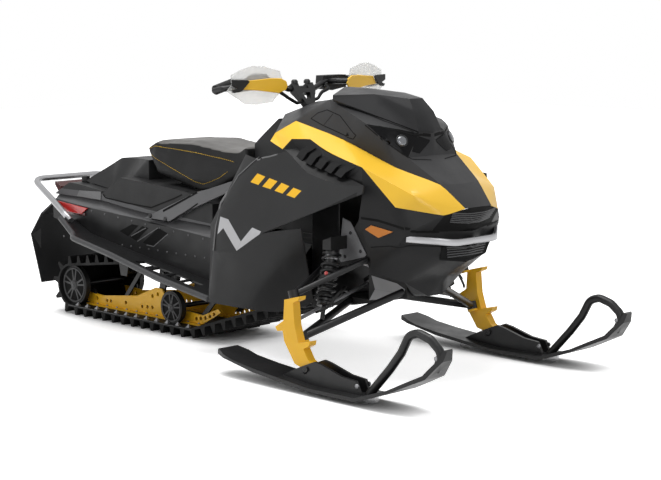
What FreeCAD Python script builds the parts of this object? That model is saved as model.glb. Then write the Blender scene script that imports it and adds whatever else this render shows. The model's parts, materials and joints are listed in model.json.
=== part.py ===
import FreeCAD, Part
import Sketcher
import math
import os

# Frame: X forward, Y to the vehicle's left, Z up, origin under the middle of the box on the ground.
# Every place below is a share of one of the three modules; every other size has its own name.

SIZES = (
    ("length_module", 1000),
    ("width_module", 1000),
    ("height_module", 1000),
    ("panel_thickness", 6),
    ("sheet_thickness", 3),
    ("tunnel_half_width", 205),
    ("tunnel_crown_half_width", 170),
    ("ski_half_stance", 490),
    ("ski_width", 150),
    ("ski_floor", 8),
    ("ski_edge_width", 12),
    ("loop_width", 30),
    ("loop_rod", 15),
    ("runner_radius", 5),
    ("bolt_radius", 9),
    ("bolt_head", 6),
    ("spindle_width", 34),
    ("housing_radius", 17.7),
    ("seat_gap", 0.3),
    ("anchor_radius", 18),
    ("anchor_bore", 6),
    ("anchor_depth", 25),
    ("arm_tube_radius", 12),
    ("upper_tube_radius", 9),
    ("tie_rod_radius", 7),
    ("ball_radius", 11),
    ("shock_body_radius", 22),
    ("shock_rod_radius", 8),
    ("spring_radius", 30),
    ("spring_wire", 5),
    ("spring_seat", 8),
    ("track_width", 356),
    ("belt_thickness", 10),
    ("lug_height", 32),
    ("lug_count", 51),
    ("sprocket_radius", 80),
    ("rear_idler_radius", 85),
    ("small_idler_radius", 67),
    ("carrier_radius", 55),
    ("idler_width", 24),
    ("idler_half_gauge", 148),
    ("carrier_half_gauge", 70),
    ("axle_radius", 10),
    ("rail_half_gauge", 105),
    ("rail_web", 8),
    ("rail_base", 30),
    ("slide_height", 8),
    ("board_thickness", 6),
    ("edge_tube_radius", 12),
    ("bumper_tube_radius", 12),
    ("strut_width", 22),
    ("seat_half_width", 150),
    ("deck_half_width", 200),
    ("flap_half_width", 190),
    ("flap_thickness", 8),
    ("post_radius", 14),
    ("bar_radius", 11),
    ("grip_radius", 17),
    ("clamp_width", 26),
    ("guard_thickness", 8),
    ("control_depth", 40),
    ("lever_radius", 4.5),
    ("cable_radius", 3.5),
    ("louver_reach", 26),
    ("louver_gauge", 16),
    ("rail_hole_radius", 8),
    ("shield_thickness", 3),
    ("pitman_half_gauge", 16),
    ("pitman_gap", 1.5),
    ("housing_height", 28),
    ("lug_thickness", 8),
    ("lug_radius", 20),
    ("rod_end_height", 14),
    ("stud_radius", 5),
    ("pitman_thickness", 14),
)

VALUE = dict(SIZES)
V = FreeCAD.Vector

doc = FreeCAD.newDocument("Snowmobile")
sheet = doc.addObject("Spreadsheet::Sheet", "Sizes")
for row, (size_name, size_value) in enumerate(SIZES, 1):
    sheet.set("A%d" % row, size_name)
    sheet.set("B%d" % row, str(size_value))
    sheet.setAlias("B%d" % row, size_name)
doc.recompute()

NODES = []


def keep(label, item):
    """Give a sub-part its label and put it on the list of files."""
    item.Label = label
    NODES.append((label, item))
    return item


def at(share):
    """A point from its shares of the three modules."""
    return V(share[0] * VALUE["length_module"],
             share[1] * VALUE["width_module"],
             share[2] * VALUE["height_module"])


def bind(item, **expressions):
    """Tie properties of a piece to the sheet; a double underscore stands for a dot."""
    for name, text in expressions.items():
        item.setExpression(name.replace("__", "."), text)
    return item


def fixed(shape, name="Form"):
    """A computed solid as an object of the document."""
    item = doc.addObject("Part::Feature", name)
    item.Shape = shape
    return item


def mirrored(item):
    """The same piece on the other side of the middle plane."""
    twin = doc.addObject("Part::Mirroring", "Twin")
    twin.Source = item
    twin.Normal = V(0, 1, 0)
    return twin


def group(label, items):
    """Several pieces of one sub-part."""
    whole = doc.addObject("Part::Compound", "Group")
    whole.Links = items
    return keep(label, whole)


def pair(label, items):
    """Pieces of one side and their twins as one sub-part."""
    return group(label, list(items) + [mirrored(item) for item in items])


PLANES = {
    "XZ": ("XZ_Plane", "length_module", "height_module"),
    "XY": ("XY_Plane", "length_module", "width_module"),
    "YZ": ("YZ_Plane", "width_module", "height_module"),
}


def outline(body, plane, rings):
    """A sketch of closed outlines whose corners follow the sheet."""
    role, across, up = PLANES[plane]
    sketch = body.newObject("Sketcher::SketchObject", "Outline")
    support = [item for item in body.Origin.OriginFeatures if item.Role == role]
    sketch.AttachmentSupport = [(support[0], "")]
    sketch.MapMode = "FlatFace"
    first = 0
    for ring in rings:
        count = len(ring)
        spots = [V(a * VALUE[across], b * VALUE[up], 0) for a, b in ring]
        for index in range(count):
            following = spots[(index + 1) % count]
            sketch.addGeometry(Part.LineSegment(spots[index], following))
        for index in range(count):
            sketch.addConstraint(Sketcher.Constraint(
                "Coincident", first + index, 2, first + (index + 1) % count, 1))
        for index, (a, b) in enumerate(ring):
            for kind, share, module in (("DistanceX", a, across), ("DistanceY", b, up)):
                number = sketch.addConstraint(Sketcher.Constraint(
                    kind, -1, 1, first + index, 1, share * VALUE[module]))
                sketch.setExpression("Constraints[%d]" % number,
                                     "Sizes.%s * %s" % (module, share))
        first += count
    return sketch


def prism(name, plane, rings, thickness, offset="0"):
    """An outline given a thickness across its plane, then moved out to its place."""
    body = doc.addObject("PartDesign::Body", name)
    pad = body.newObject("PartDesign::Pad", "Pad")
    pad.Profile = outline(body, plane, rings)
    pad.SideType = "Symmetric"
    pad.setExpression("Length", thickness)
    axis = {"XZ": "y", "XY": "z", "YZ": "x"}[plane]
    body.setExpression("Placement.Base." + axis, offset)
    return body


def rod_shape(start, end, radius):
    """A round bar between two points."""
    along = end - start
    return Part.makeCylinder(radius, along.Length, start, along)


def rod(start, end, radius, name="Rod"):
    """A round bar between two points given in shares."""
    return fixed(rod_shape(at(start), at(end), radius), name)


def rounded_path(points, bend):
    """Straight runs joined by tangent arcs."""
    edges = []
    begin = points[0]
    for before, corner, after in zip(points, points[1:], points[2:]):
        back = (before - corner).normalize()
        ahead = (after - corner).normalize()
        angle = back.getAngle(ahead)
        reach = bend / math.tan(angle / 2)
        limit = 0.45 * min((before - corner).Length, (after - corner).Length)
        reach = min(reach, limit)
        radius = reach * math.tan(angle / 2)
        entry = corner + back * reach
        leave = corner + ahead * reach
        middle = (back + ahead).normalize()
        crown = corner + middle * (radius / math.sin(angle / 2) - radius)
        edges.append(Part.LineSegment(begin, entry).toShape())
        edges.append(Part.Arc(entry, crown, leave).toShape())
        begin = leave
    edges.append(Part.LineSegment(begin, points[-1]).toShape())
    return Part.Wire(edges)


def tube_shape(points, radius, bend):
    """A bent bar along rounded corners."""
    path = rounded_path(points, bend)
    start = points[0]
    circle = Part.makeCircle(radius, start, points[1] - start)
    return path.makePipeShell([Part.Wire(circle)], True, False, 2)


def tube(shares, radius, bend, name="Tube"):
    """A bent bar through points given in shares."""
    return fixed(tube_shape([at(share) for share in shares], radius, bend), name)


def strip_shape(points, width, depth, bend, side):
    """A bent bar of rectangular section, its width along the given side."""
    path = rounded_path(points, bend)
    start = points[0]
    along = (points[1] - start).normalize()
    across = V(side).normalize()
    over = along.cross(across).normalize()
    corners = [start + across * (width / 2 * p) + over * (depth / 2 * q)
               for p, q in ((1, 1), (-1, 1), (-1, -1), (1, -1), (1, 1))]
    return path.makePipeShell([Part.makePolygon(corners)], True, True, 1)


# The faceted skin. Corners are shared by name, so that neighbouring panels meet edge to edge;
# the inner face of a panel lies towards a line inside the nose, and its rims are common to both.
SKIN_SHARES = {
    "rear_low": (0.302, 0.290, 0.836),
    "rear": (0.292, 0.255, 0.864),
    "top": (0.339, 0.195, 0.907),
    "up_one": (0.597, 0.210, 0.855),
    "up_two": (0.812, 0.165, 0.762),
    "corner": (0.970, 0.100, 0.710),
    "nose": (1.057, 0.070, 0.630),
    "low_front": (1.026, 0.145, 0.609),
    "low_mid": (0.902, 0.260, 0.637),
    "low_rear": (0.771, 0.290, 0.769),
    "arch_one": (0.605, 0.300, 0.814),
    "arch_two": (0.496, 0.275, 0.853),
    "arch_three": (0.411, 0.285, 0.849),
    "arch_four": (0.378, 0.300, 0.811),
    "crease": (0.949, 0.215, 0.677),
    "post_front": (0.250, 0.000, 0.968),
    "cowl_rear": (0.158, 0.080, 0.919),
    "cowl_mid": (0.459, 0.140, 0.988),
    "cowl_ridge": (0.459, 0.000, 1.000),
    "brow_out": (0.705, 0.200, 0.913),
    "brow_mid": (0.787, 0.140, 0.898),
    "brow_in": (0.828, 0.060, 0.880),
    "lamp_out": (0.770, 0.180, 0.859),
    "lamp_mid": (0.840, 0.130, 0.797),
    "lamp_in": (0.850, 0.000, 0.800),
    "screen_base": (0.840, 0.000, 0.878),
    "tip": (0.980, 0.000, 0.705),
    "nose_middle": (1.063, 0.000, 0.633),
    "grille_out": (0.978, 0.160, 0.550),
    "grille_in": (1.028, 0.000, 0.543),
    "cheek_top": (0.781, 0.300, 0.671),
    "cheek_rear": (0.758, 0.295, 0.583),
    "facet_rear": (0.798, 0.285, 0.496),
    "facet_low": (0.920, 0.260, 0.510),
    "facet_front": (0.947, 0.250, 0.552),
    "vent_top": (0.999, 0.130, 0.494),
    "vent_low": (0.990, 0.120, 0.451),
    "vent_in_top": (1.020, 0.000, 0.486),
    "vent_in_low": (1.002, 0.000, 0.430),
    "belly_rear": (0.772, 0.240, 0.392),
    "belly_mid": (0.847, 0.150, 0.355),
    "keel_rear": (0.815, 0.070, 0.294),
    "keel_front": (0.859, 0.040, 0.296),
    "keel_rear_in": (0.815, 0.000, 0.292),
    "keel_front_in": (0.859, 0.000, 0.294),
    "belly_front": (0.902, 0.000, 0.371),
    "side_in_top": (0.145, 0.270, 0.776),
    "side_rear_top": (0.242, 0.300, 0.766),
    "side_top": (0.401, 0.300, 0.805),
    "side_top_two": (0.521, 0.315, 0.734),
    "side_top_three": (0.697, 0.325, 0.700),
    "side_tip": (0.816, 0.330, 0.711),
    "side_tip_low": (0.815, 0.335, 0.683),
    "side_low_one": (0.353, 0.385, 0.508),
    "side_low_two": (0.223, 0.390, 0.423),
    "side_low_rear": (0.093, 0.385, 0.417),
    "side_rear_mid": (0.102, 0.360, 0.583),
    "side_in_low": (0.042, 0.360, 0.418),
    "side_in_mid": (0.020, 0.340, 0.506),
    "lower_rear": (0.046, 0.375, 0.215),
    "lower_mid": (0.213, 0.365, 0.213),
    "lower_front": (0.332, 0.280, 0.194),
    "lower_top": (0.535, 0.360, 0.539),
    "lower_wrap": (0.433, 0.200, 0.236),
    "louver_rear": (0.425, 0.272, 0.815),
    "louver_mid": (0.545, 0.272, 0.765),
    "louver_front": (0.690, 0.278, 0.728),
    "screen_rear": (0.497, 0.160, 1.000),
    "screen_rear_low": (0.502, 0.165, 0.986),
    "screen_ridge_rear": (0.400, 0.000, 1.023),
    "screen_ridge": (0.555, 0.000, 1.024),
    "screen_ridge_front": (0.680, 0.000, 1.002),
    "screen_top": (0.628, 0.080, 1.006),
    "screen_peak": (0.758, 0.034, 0.992),
    "screen_peak_in": (0.761, 0.000, 0.992),
    "screen_bulge": (0.796, 0.052, 0.946),
    "screen_bulge_in": (0.804, 0.000, 0.944),
}
CORE_SHARES = ((0.20, 0.0, 0.65), (0.85, 0.0, 0.60))


def skin_point(name, side):
    """An outer corner of the skin on one side."""
    x, y, z = SKIN_SHARES[name]
    return at((x, side * y, z))


def inward(spot):
    """The direction from a corner to the line inside the nose."""
    first, last = (at(share) for share in CORE_SHARES)
    run = last - first
    along = max(0, min(1, (spot - first).dot(run) / run.dot(run)))
    return (first + run * along - spot).normalize()


def panel_shape(corners, side, lift=0):
    """One closed solid from the corners of its outer triangles."""
    thick = VALUE["panel_thickness"]
    outer = {}
    inner = {}
    for name in set(sum(corners, ())):
        spot = skin_point(name, side)
        way = inward(spot)
        outer[name] = spot - way * lift
        inner[name] = spot + way * (thick - lift)
    faces = []
    seen = {}
    for one, two, three in corners:
        faces.append((outer[one], outer[two], outer[three]))
        faces.append((inner[one], inner[three], inner[two]))
        for edge in ((one, two), (two, three), (three, one)):
            key = tuple(sorted(edge))
            seen[key] = seen.get(key, 0) + 1
    for (low, high), times in sorted(seen.items()):
        if times == 1:
            faces.append((outer[low], outer[high], inner[high]))
            faces.append((outer[low], inner[high], inner[low]))
    return solid_of(faces)


def solid_of(faces):
    """A closed solid from flat faces that share their corners."""
    made = [Part.Face(Part.makePolygon(list(face) + [face[0]])) for face in faces]
    shell = Part.Shell(made)
    if not shell.isClosed():
        shell.sewShape()
        shell = shell.Shells[0]
    solid = Part.Solid(shell)
    if solid.Volume < 0:
        solid.reverse()
    return solid


def panel_pair(corners, name, lift=0):
    """A panel and the one on the other side."""
    return [fixed(panel_shape(corners, side, lift), name) for side in (-1, 1)]


def panel_whole(corners, name, lift=0):
    """A panel that runs across the middle, from its half."""
    both = [panel_shape(corners, side, lift) for side in (-1, 1)]
    return fixed(both[0].fuse(both[1]).Solids[0], name)


def largest(shape):
    """The biggest solid of a cut shape."""
    return max(shape.Solids, key=lambda solid: solid.Volume)


SHOULDER = (
    ("rear_low", "rear", "arch_four"),
    ("rear", "arch_three", "arch_four"),
    ("rear", "top", "arch_three"),
    ("top", "arch_two", "arch_three"),
    ("top", "up_one", "arch_two"),
    ("up_one", "arch_one", "arch_two"),
    ("up_one", "low_rear", "arch_one"),
    ("up_one", "up_two", "low_rear"),
    ("up_two", "crease", "low_rear"),
    ("up_two", "corner", "crease"),
    ("corner", "nose", "crease"),
    ("nose", "low_front", "crease"),
    ("low_rear", "crease", "low_mid"),
    ("crease", "low_front", "low_mid"),
)
COWL = (
    ("post_front", "cowl_rear", "cowl_mid"),
    ("post_front", "cowl_mid", "cowl_ridge"),
    ("cowl_rear", "rear", "top"),
    ("cowl_rear", "top", "cowl_mid"),
    ("top", "up_one", "cowl_mid"),
    ("up_one", "brow_out", "cowl_mid"),
    ("up_one", "up_two", "brow_out"),
    ("up_two", "lamp_out", "brow_out"),
    ("up_two", "lamp_mid", "lamp_out"),
    ("up_two", "corner", "lamp_mid"),
    ("corner", "tip", "lamp_mid"),
    ("tip", "lamp_in", "lamp_mid"),
    ("brow_in", "lamp_mid", "lamp_in"),
    ("brow_in", "lamp_in", "screen_base"),
    ("cowl_ridge", "cowl_mid", "brow_mid"),
    ("cowl_mid", "brow_out", "brow_mid"),
    ("cowl_ridge", "brow_mid", "brow_in"),
    ("cowl_ridge", "brow_in", "screen_base"),
)
LAMP = (
    ("brow_out", "lamp_out", "brow_mid"),
    ("lamp_out", "lamp_mid", "brow_mid"),
    ("brow_mid", "lamp_mid", "brow_in"),
)
NOSE_CAP = (
    ("corner", "nose", "nose_middle"),
    ("corner", "nose_middle", "tip"),
)
UPPER_GRILLE = (
    ("nose", "low_front", "grille_out"),
    ("nose", "grille_out", "grille_in"),
    ("nose", "grille_in", "nose_middle"),
)
CHEEK = (
    ("low_rear", "low_mid", "cheek_top"),
    ("low_mid", "cheek_rear", "cheek_top"),
    ("low_mid", "facet_front", "cheek_rear"),
    ("low_mid", "low_front", "facet_front"),
    ("low_front", "grille_out", "facet_front"),
)
BELLY = (
    ("cheek_rear", "facet_rear", "facet_low"),
    ("cheek_rear", "facet_low", "facet_front"),
    ("facet_front", "facet_low", "vent_top"),
    ("facet_front", "vent_top", "grille_out"),
    ("grille_out", "vent_top", "vent_in_top"),
    ("grille_out", "vent_in_top", "grille_in"),
    ("facet_rear", "belly_rear", "facet_low"),
    ("facet_low", "belly_rear", "belly_mid"),
    ("facet_low", "belly_mid", "vent_low"),
    ("facet_low", "vent_low", "vent_top"),
    ("vent_low", "belly_mid", "belly_front"),
    ("vent_low", "belly_front", "vent_in_low"),
    ("belly_mid", "keel_rear", "keel_front"),
    ("belly_mid", "keel_front", "belly_front"),
    ("keel_rear", "keel_rear_in", "keel_front_in"),
    ("keel_rear", "keel_front_in", "keel_front"),
    ("keel_front", "keel_front_in", "belly_front"),
)
LOWER_GRILLE = (
    ("vent_top", "vent_low", "vent_in_low"),
    ("vent_top", "vent_in_low", "vent_in_top"),
)
SIDE = (
    ("side_top", "side_rear_top", "side_rear_mid"),
    ("side_top", "side_rear_mid", "side_low_one"),
    ("side_rear_mid", "side_low_rear", "side_low_one"),
    ("side_low_rear", "side_low_two", "side_low_one"),
    ("side_top", "side_low_one", "side_top_two"),
    ("side_top_two", "side_low_one", "side_top_three"),
    ("side_top_three", "side_low_one", "side_tip_low"),
    ("side_top_three", "side_tip_low", "side_tip"),
    ("side_in_top", "side_rear_mid", "side_rear_top"),
    ("side_in_top", "side_in_mid", "side_rear_mid"),
    ("side_in_mid", "side_in_low", "side_low_rear"),
    ("side_in_mid", "side_low_rear", "side_rear_mid"),
)
LOWER = (
    ("side_in_low", "lower_rear", "side_low_rear"),
    ("side_low_rear", "lower_rear", "lower_mid"),
    ("side_low_rear", "lower_mid", "side_low_two"),
    ("side_low_two", "lower_mid", "side_low_one"),
    ("side_low_one", "lower_mid", "lower_top"),
    ("lower_mid", "lower_front", "lower_top"),
    ("lower_front", "lower_wrap", "lower_top"),
)
LOUVER = (
    ("arch_four", "arch_three", "louver_rear"),
    ("arch_four", "louver_rear", "side_top"),
    ("arch_three", "arch_two", "louver_rear"),
    ("arch_two", "louver_mid", "louver_rear"),
    ("side_top", "louver_rear", "side_top_two"),
    ("louver_rear", "louver_mid", "side_top_two"),
    ("arch_two", "arch_one", "louver_mid"),
    ("arch_one", "louver_front", "louver_mid"),
    ("side_top_two", "louver_mid", "side_top_three"),
    ("louver_mid", "louver_front", "side_top_three"),
    ("arch_one", "low_rear", "louver_front"),
    ("low_rear", "cheek_top", "louver_front"),
    ("louver_front", "side_tip", "side_top_three"),
    ("louver_front", "cheek_top", "side_tip"),
)
SCREEN = (
    ("screen_ridge_rear", "screen_rear", "screen_top"),
    ("screen_ridge_rear", "screen_top", "screen_ridge"),
    ("screen_ridge", "screen_top", "screen_ridge_front"),
    ("screen_top", "screen_peak", "screen_ridge_front"),
    ("screen_ridge_front", "screen_peak", "screen_peak_in"),
    ("screen_rear", "screen_rear_low", "screen_top"),
    ("screen_rear_low", "brow_in", "screen_top"),
    ("brow_in", "screen_bulge", "screen_top"),
    ("screen_top", "screen_bulge", "screen_peak"),
    ("brow_in", "screen_base", "screen_bulge"),
    ("screen_base", "screen_bulge_in", "screen_bulge"),
    ("screen_bulge", "screen_bulge_in", "screen_peak"),
    ("screen_bulge_in", "screen_peak_in", "screen_peak"),
)

shoulders = panel_pair(SHOULDER, "Shoulder")
group("shoulder_panels", shoulders)
cowl = panel_whole(COWL, "Cowl")
group("upper_cowl", [cowl, panel_whole(NOSE_CAP, "NoseCap")])
group("headlamps", panel_pair(LAMP, "Lamp"))
group("nose_grilles", [panel_whole(UPPER_GRILLE, "UpperGrille"),
                       panel_whole(LOWER_GRILLE, "LowerGrille")])
belly = panel_whole(BELLY, "Belly")
group("belly_pan", panel_pair(CHEEK, "Cheek") + [belly])
group("side_panels", panel_pair(SIDE, "SidePanel"))
group("lower_panels", panel_pair(LOWER, "LowerPanel"))

# Bent blades stand over the recessed back of each side vent.
BLADE_COUNT = 5
BLADE_SHARES = (
    ((0.536, 0.279, 0.838), (0.724, 0.290, 0.774)),
    ((0.478, 0.288, 0.809), (0.686, 0.300, 0.754)),
    ((0.456, 0.296, 0.777), (0.668, 0.308, 0.733)),
)


def blade_shape(part_along, side):
    """One bent blade, its outer corners from the table and its depth towards the middle."""
    half = V(VALUE["louver_gauge"], 0, -VALUE["louver_gauge"] / 3)
    depth = V(0, side * VALUE["louver_reach"], 0)
    rows = []
    for first, last in BLADE_SHARES:
        share = [a + (b - a) * part_along for a, b in zip(first, last)]
        spot = at((share[0], side * share[1], share[2]))
        rows.append((spot - half, spot + half))
    faces = []
    for (one, two), (three, four) in zip(rows, rows[1:]):
        faces.append((one, two, three))
        faces.append((two, four, three))
        faces.append((one - depth, three - depth, two - depth))
        faces.append((two - depth, three - depth, four - depth))
        for low, high in ((one, three), (two, four)):
            faces.append((low, high, high - depth))
            faces.append((low, high - depth, low - depth))
    for one, two in (rows[0], rows[-1]):
        faces.append((one, two, two - depth))
        faces.append((one, two - depth, one - depth))
    return solid_of(faces)


vents = []
for side, backing, shoulder in zip((-1, 1), panel_pair(LOUVER, "LouverBack"), shoulders):
    vent = backing.Shape
    for index in range(BLADE_COUNT):
        vent = vent.fuse(blade_shape(index / (BLADE_COUNT - 1), side))
    vents.append(fixed(largest(vent.cut(shoulder.Shape)), "Vent"))
group("side_louvers", vents)
screen = panel_whole(SCREEN, "Screen", VALUE["panel_thickness"])
screen.Shape = largest(screen.Shape.cut(cowl.Shape))
group("windshield", [screen])

# The tunnel: a folded channel from the tail to the footwell, lofted between cuts across it.
TUNNEL_SHARES = (
    (-1.174, 0.522, 0.420),
    (-0.836, 0.521, 0.356),
    (-0.570, 0.489, 0.317),
    (-0.129, 0.474, 0.251),
    (0.060, 0.462, 0.215),
    (0.400, 0.452, 0.215),
)
BEVEL_SHARE = 0.035


def tunnel_section(share, gauge):
    """The channel's closed cut at one station, in the plane across the vehicle."""
    x, crown, foot = (share[0] * VALUE["length_module"],
                      share[1] * VALUE["height_module"],
                      share[2] * VALUE["height_module"])
    drop = BEVEL_SHARE * VALUE["height_module"]
    side = VALUE["tunnel_half_width"]
    flat = VALUE["tunnel_crown_half_width"]
    half = [(side, foot), (side, crown - drop), (flat, crown)]
    inner = [(side - gauge, foot), (side - gauge, crown - drop - gauge / 2),
             (flat - gauge / 2, crown - gauge)]
    ring = [V(x, y, z) for y, z in half]
    ring += [V(x, -y, z) for y, z in reversed(half)]
    ring += [V(x, -y, z) for y, z in inner]
    ring += [V(x, y, z) for y, z in reversed(inner)]
    return Part.makePolygon(ring + ring[:1])


def lofted(sections):
    """A solid drawn straight from each cut to the next."""
    runs = [Part.makeLoft([one, two], True, True) for one, two in zip(sections, sections[1:])]
    whole = runs[0].multiFuse(runs[1:])
    return whole.Solids[0]


tunnel_skin = fixed(lofted([tunnel_section(share, VALUE["sheet_thickness"])
                            for share in TUNNEL_SHARES]), "TunnelSkin")
FRONT_WALL = ((0.400, 0.215), (0.400, 0.452), (0.406, 0.452), (0.406, 0.215))
front_wall = prism("FrontWall", "XZ", [FRONT_WALL], "Sizes.tunnel_crown_half_width * 2")
group("tunnel", [tunnel_skin, front_wall])

# Running boards hang from the foot of the tunnel and end at the edge tube.
BOARD_SHARES = ((-1.018, 0.280), (-0.905, 0.300), (-0.851, 0.340), (-0.579, 0.360),
                (-0.276, 0.360), (0.029, 0.360))
BOARD_FOOT_SHARES = (0.420, 0.372, 0.363, 0.318, 0.273, 0.232)
EDGE_SHARES = (
    (-1.018, 0.280, 0.436),
    (-0.905, 0.300, 0.379),
    (-0.851, 0.340, 0.371),
    (-0.579, 0.360, 0.333),
    (-0.276, 0.360, 0.269),
    (0.029, 0.360, 0.224),
)
edge_bend = 4 * VALUE["edge_tube_radius"]


def board_shape(side):
    """One running board as a thin ruled sheet between the tunnel foot and the tube."""
    thick = V(0, 0, VALUE["board_thickness"] / 2)
    wall = side * VALUE["tunnel_half_width"]
    faces = []
    inner = [V(share[0] * VALUE["length_module"], wall, foot * VALUE["height_module"])
             for share, foot in zip(EDGE_SHARES, BOARD_FOOT_SHARES)]
    outer = [V(share[0] * VALUE["length_module"], side * share[1] * VALUE["width_module"],
               share[2] * VALUE["height_module"]) for share in EDGE_SHARES]
    for index in range(len(inner) - 1):
        ring = [inner[index], outer[index], outer[index + 1], inner[index + 1]]
        for one, two, three in ((0, 1, 2), (0, 2, 3)):
            faces.append((ring[one] + thick, ring[two] + thick, ring[three] + thick))
            faces.append((ring[one] - thick, ring[three] - thick, ring[two] - thick))
        for one, two in ((0, 3), (1, 2)):
            faces.append((ring[one] + thick, ring[two] + thick, ring[two] - thick))
            faces.append((ring[one] + thick, ring[two] - thick, ring[one] - thick))
    for end in (0, -1):
        faces.append((inner[end] + thick, outer[end] + thick, outer[end] - thick))
        faces.append((inner[end] + thick, outer[end] - thick, inner[end] - thick))
    return solid_of(faces)


def with_side(shares, side):
    """Places of the left side moved to the asked side."""
    return [(x, side * y, z) for x, y, z in shares]


edge_tubes = [tube_shape([at(share) for share in with_side(EDGE_SHARES, side)],
                         VALUE["edge_tube_radius"], edge_bend) for side in (-1, 1)]
group("board_tubes", [fixed(bar, "EdgeTube") for bar in edge_tubes])

# The rear bumper: one silver loop whose arms run down to the boards.
BUMPER_SHARES = ((-0.987, 0.045, 0.425), (-1.100, 0.027, 0.480), (-1.333, -0.030, 0.572))
bumper_bend = 3 * VALUE["bumper_tube_radius"]


def beside_tunnel(share, side):
    """A place whose middle figure counts outward from the tunnel's wall."""
    x, y, z = share
    return V(x * VALUE["length_module"],
             side * (VALUE["tunnel_half_width"] + y * VALUE["width_module"]),
             z * VALUE["height_module"])


bumper_spots = [beside_tunnel(share, -1) for share in BUMPER_SHARES]
bumper_spots += [beside_tunnel(share, 1) for share in reversed(BUMPER_SHARES)]
rear_loop = fixed(tube_shape(bumper_spots, VALUE["bumper_tube_radius"], bumper_bend), "Loop")
group("rear_bumper", [rear_loop])
BOARD_SLOT_SHARES = ((-0.480, -0.400), (-0.385, -0.300), (-0.285, -0.205), (-0.190, -0.115))
BOARD_SLOT_REACH_SHARES = (0.262, 0.312)


def slot_shape(begin, end, side):
    """An upright cutter for one drain opening of a board."""
    near, far = (share * VALUE["width_module"] for share in BOARD_SLOT_REACH_SHARES)
    low = V(begin * VALUE["length_module"], near if side > 0 else -far, 0)
    return Part.makeBox((end - begin) * VALUE["length_module"], far - near,
                        VALUE["height_module"] / 2, low)


boards = []
for side, bar in zip((-1, 1), edge_tubes):
    board = board_shape(side).cut(bar).cut(rear_loop.Shape)
    for begin, end in BOARD_SLOT_SHARES:
        board = board.cut(slot_shape(begin, end, side))
    boards.append(largest(board))
group("running_boards", [fixed(board, "Board") for board in boards])

FLAP_SHARES = ((-1.174, 0.520), (-1.350, 0.420), (-1.3585, 0.330), (-1.347, 0.110),
               (-1.339, 0.110), (-1.350, 0.328), (-1.341, 0.414), (-1.174, 0.510))
group("snow_flap", [prism("Flap", "XZ", [FLAP_SHARES], "Sizes.flap_half_width * 2")])

TAIL_SHARES = ((-1.215, 0.571), (-1.198, 0.571), (-1.174, 0.552), (-1.174, 0.524),
               (-1.185, 0.524), (-1.215, 0.556))
LENS_SHARES = ((-1.148, 0.478), (-0.940, 0.458), (-0.940, 0.446), (-1.060, 0.444))
tail_lamp = prism("TailLamp", "XZ", [TAIL_SHARES], "Sizes.tunnel_half_width * 1.6")
side_lens = prism("SideLens", "XZ", [LENS_SHARES], "Sizes.sheet_thickness * 2",
                  "Sizes.tunnel_half_width + Sizes.sheet_thickness")
group("tail_lenses", [tail_lamp, side_lens, mirrored(side_lens)])

REFLECTOR_SHARES = (
    (0.785, 0.287, 0.553),
    (0.810, 0.283, 0.569),
    (0.897, 0.265, 0.552),
    (0.840, 0.277, 0.527),
)


def reflector_shape(side):
    """A thin lens lying on the facet ahead of the suspension."""
    corners = [at(share) for share in with_side(REFLECTOR_SHARES, side)]
    lower, back, front = (skin_point(name, side)
                          for name in ("facet_rear", "cheek_rear", "facet_low"))
    normal = (back - lower).cross(front - lower).normalize()
    if normal.y * side < 0:
        normal = normal * -1
    flat = [spot - normal * normal.dot(spot - lower) for spot in corners]
    face = Part.Face(Part.makePolygon(flat + flat[:1]))
    return face.extrude(normal * VALUE["sheet_thickness"])


group("side_reflectors", [fixed(reflector_shape(side), "Reflector") for side in (-1, 1)])

# The rear deck: tray, wings and the hump behind the seat.
TRAY_SHARES = ((-1.174, 0.526), (-1.076, 0.578), (-1.030, 0.578), (-0.836, 0.557),
               (-0.836, 0.521), (-1.174, 0.522))
HUMP_SHARES = ((-1.028, 0.587), (-0.925, 0.660), (-0.860, 0.690), (-0.751, 0.695),
               (-0.600, 0.700), (-0.600, 0.540), (-0.848, 0.560), (-1.028, 0.583))
WING_SHARES = ((-0.836, 0.548), (-0.704, 0.624), (-0.267, 0.600), (-0.129, 0.560),
               (-0.129, 0.474), (-0.570, 0.489), (-0.836, 0.521))
tray = prism("Tray", "XZ", [TRAY_SHARES], "Sizes.deck_half_width * 1.9")
wing = prism("Wing", "XZ", [WING_SHARES], "Sizes.deck_half_width * 2")
hump = prism("Hump", "XZ", [HUMP_SHARES], "Sizes.seat_half_width * 1.8")
ANCHOR_SHARES = ((-1.050, 0.120), (-1.050, -0.120))
ANCHOR_TOP_SHARE = 0.6033


def upright(name, place, radius):
    """A round upright piece whose top is at the anchors' height."""
    item = doc.addObject("Part::Cylinder", name)
    bind(item, Radius=radius, Height="Sizes.anchor_depth",
         Placement__Base__x="Sizes.length_module * %s" % place[0],
         Placement__Base__y="Sizes.width_module * %s" % place[1],
         Placement__Base__z="Sizes.height_module * %s - Sizes.anchor_depth" % ANCHOR_TOP_SHARE)
    return item


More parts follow.
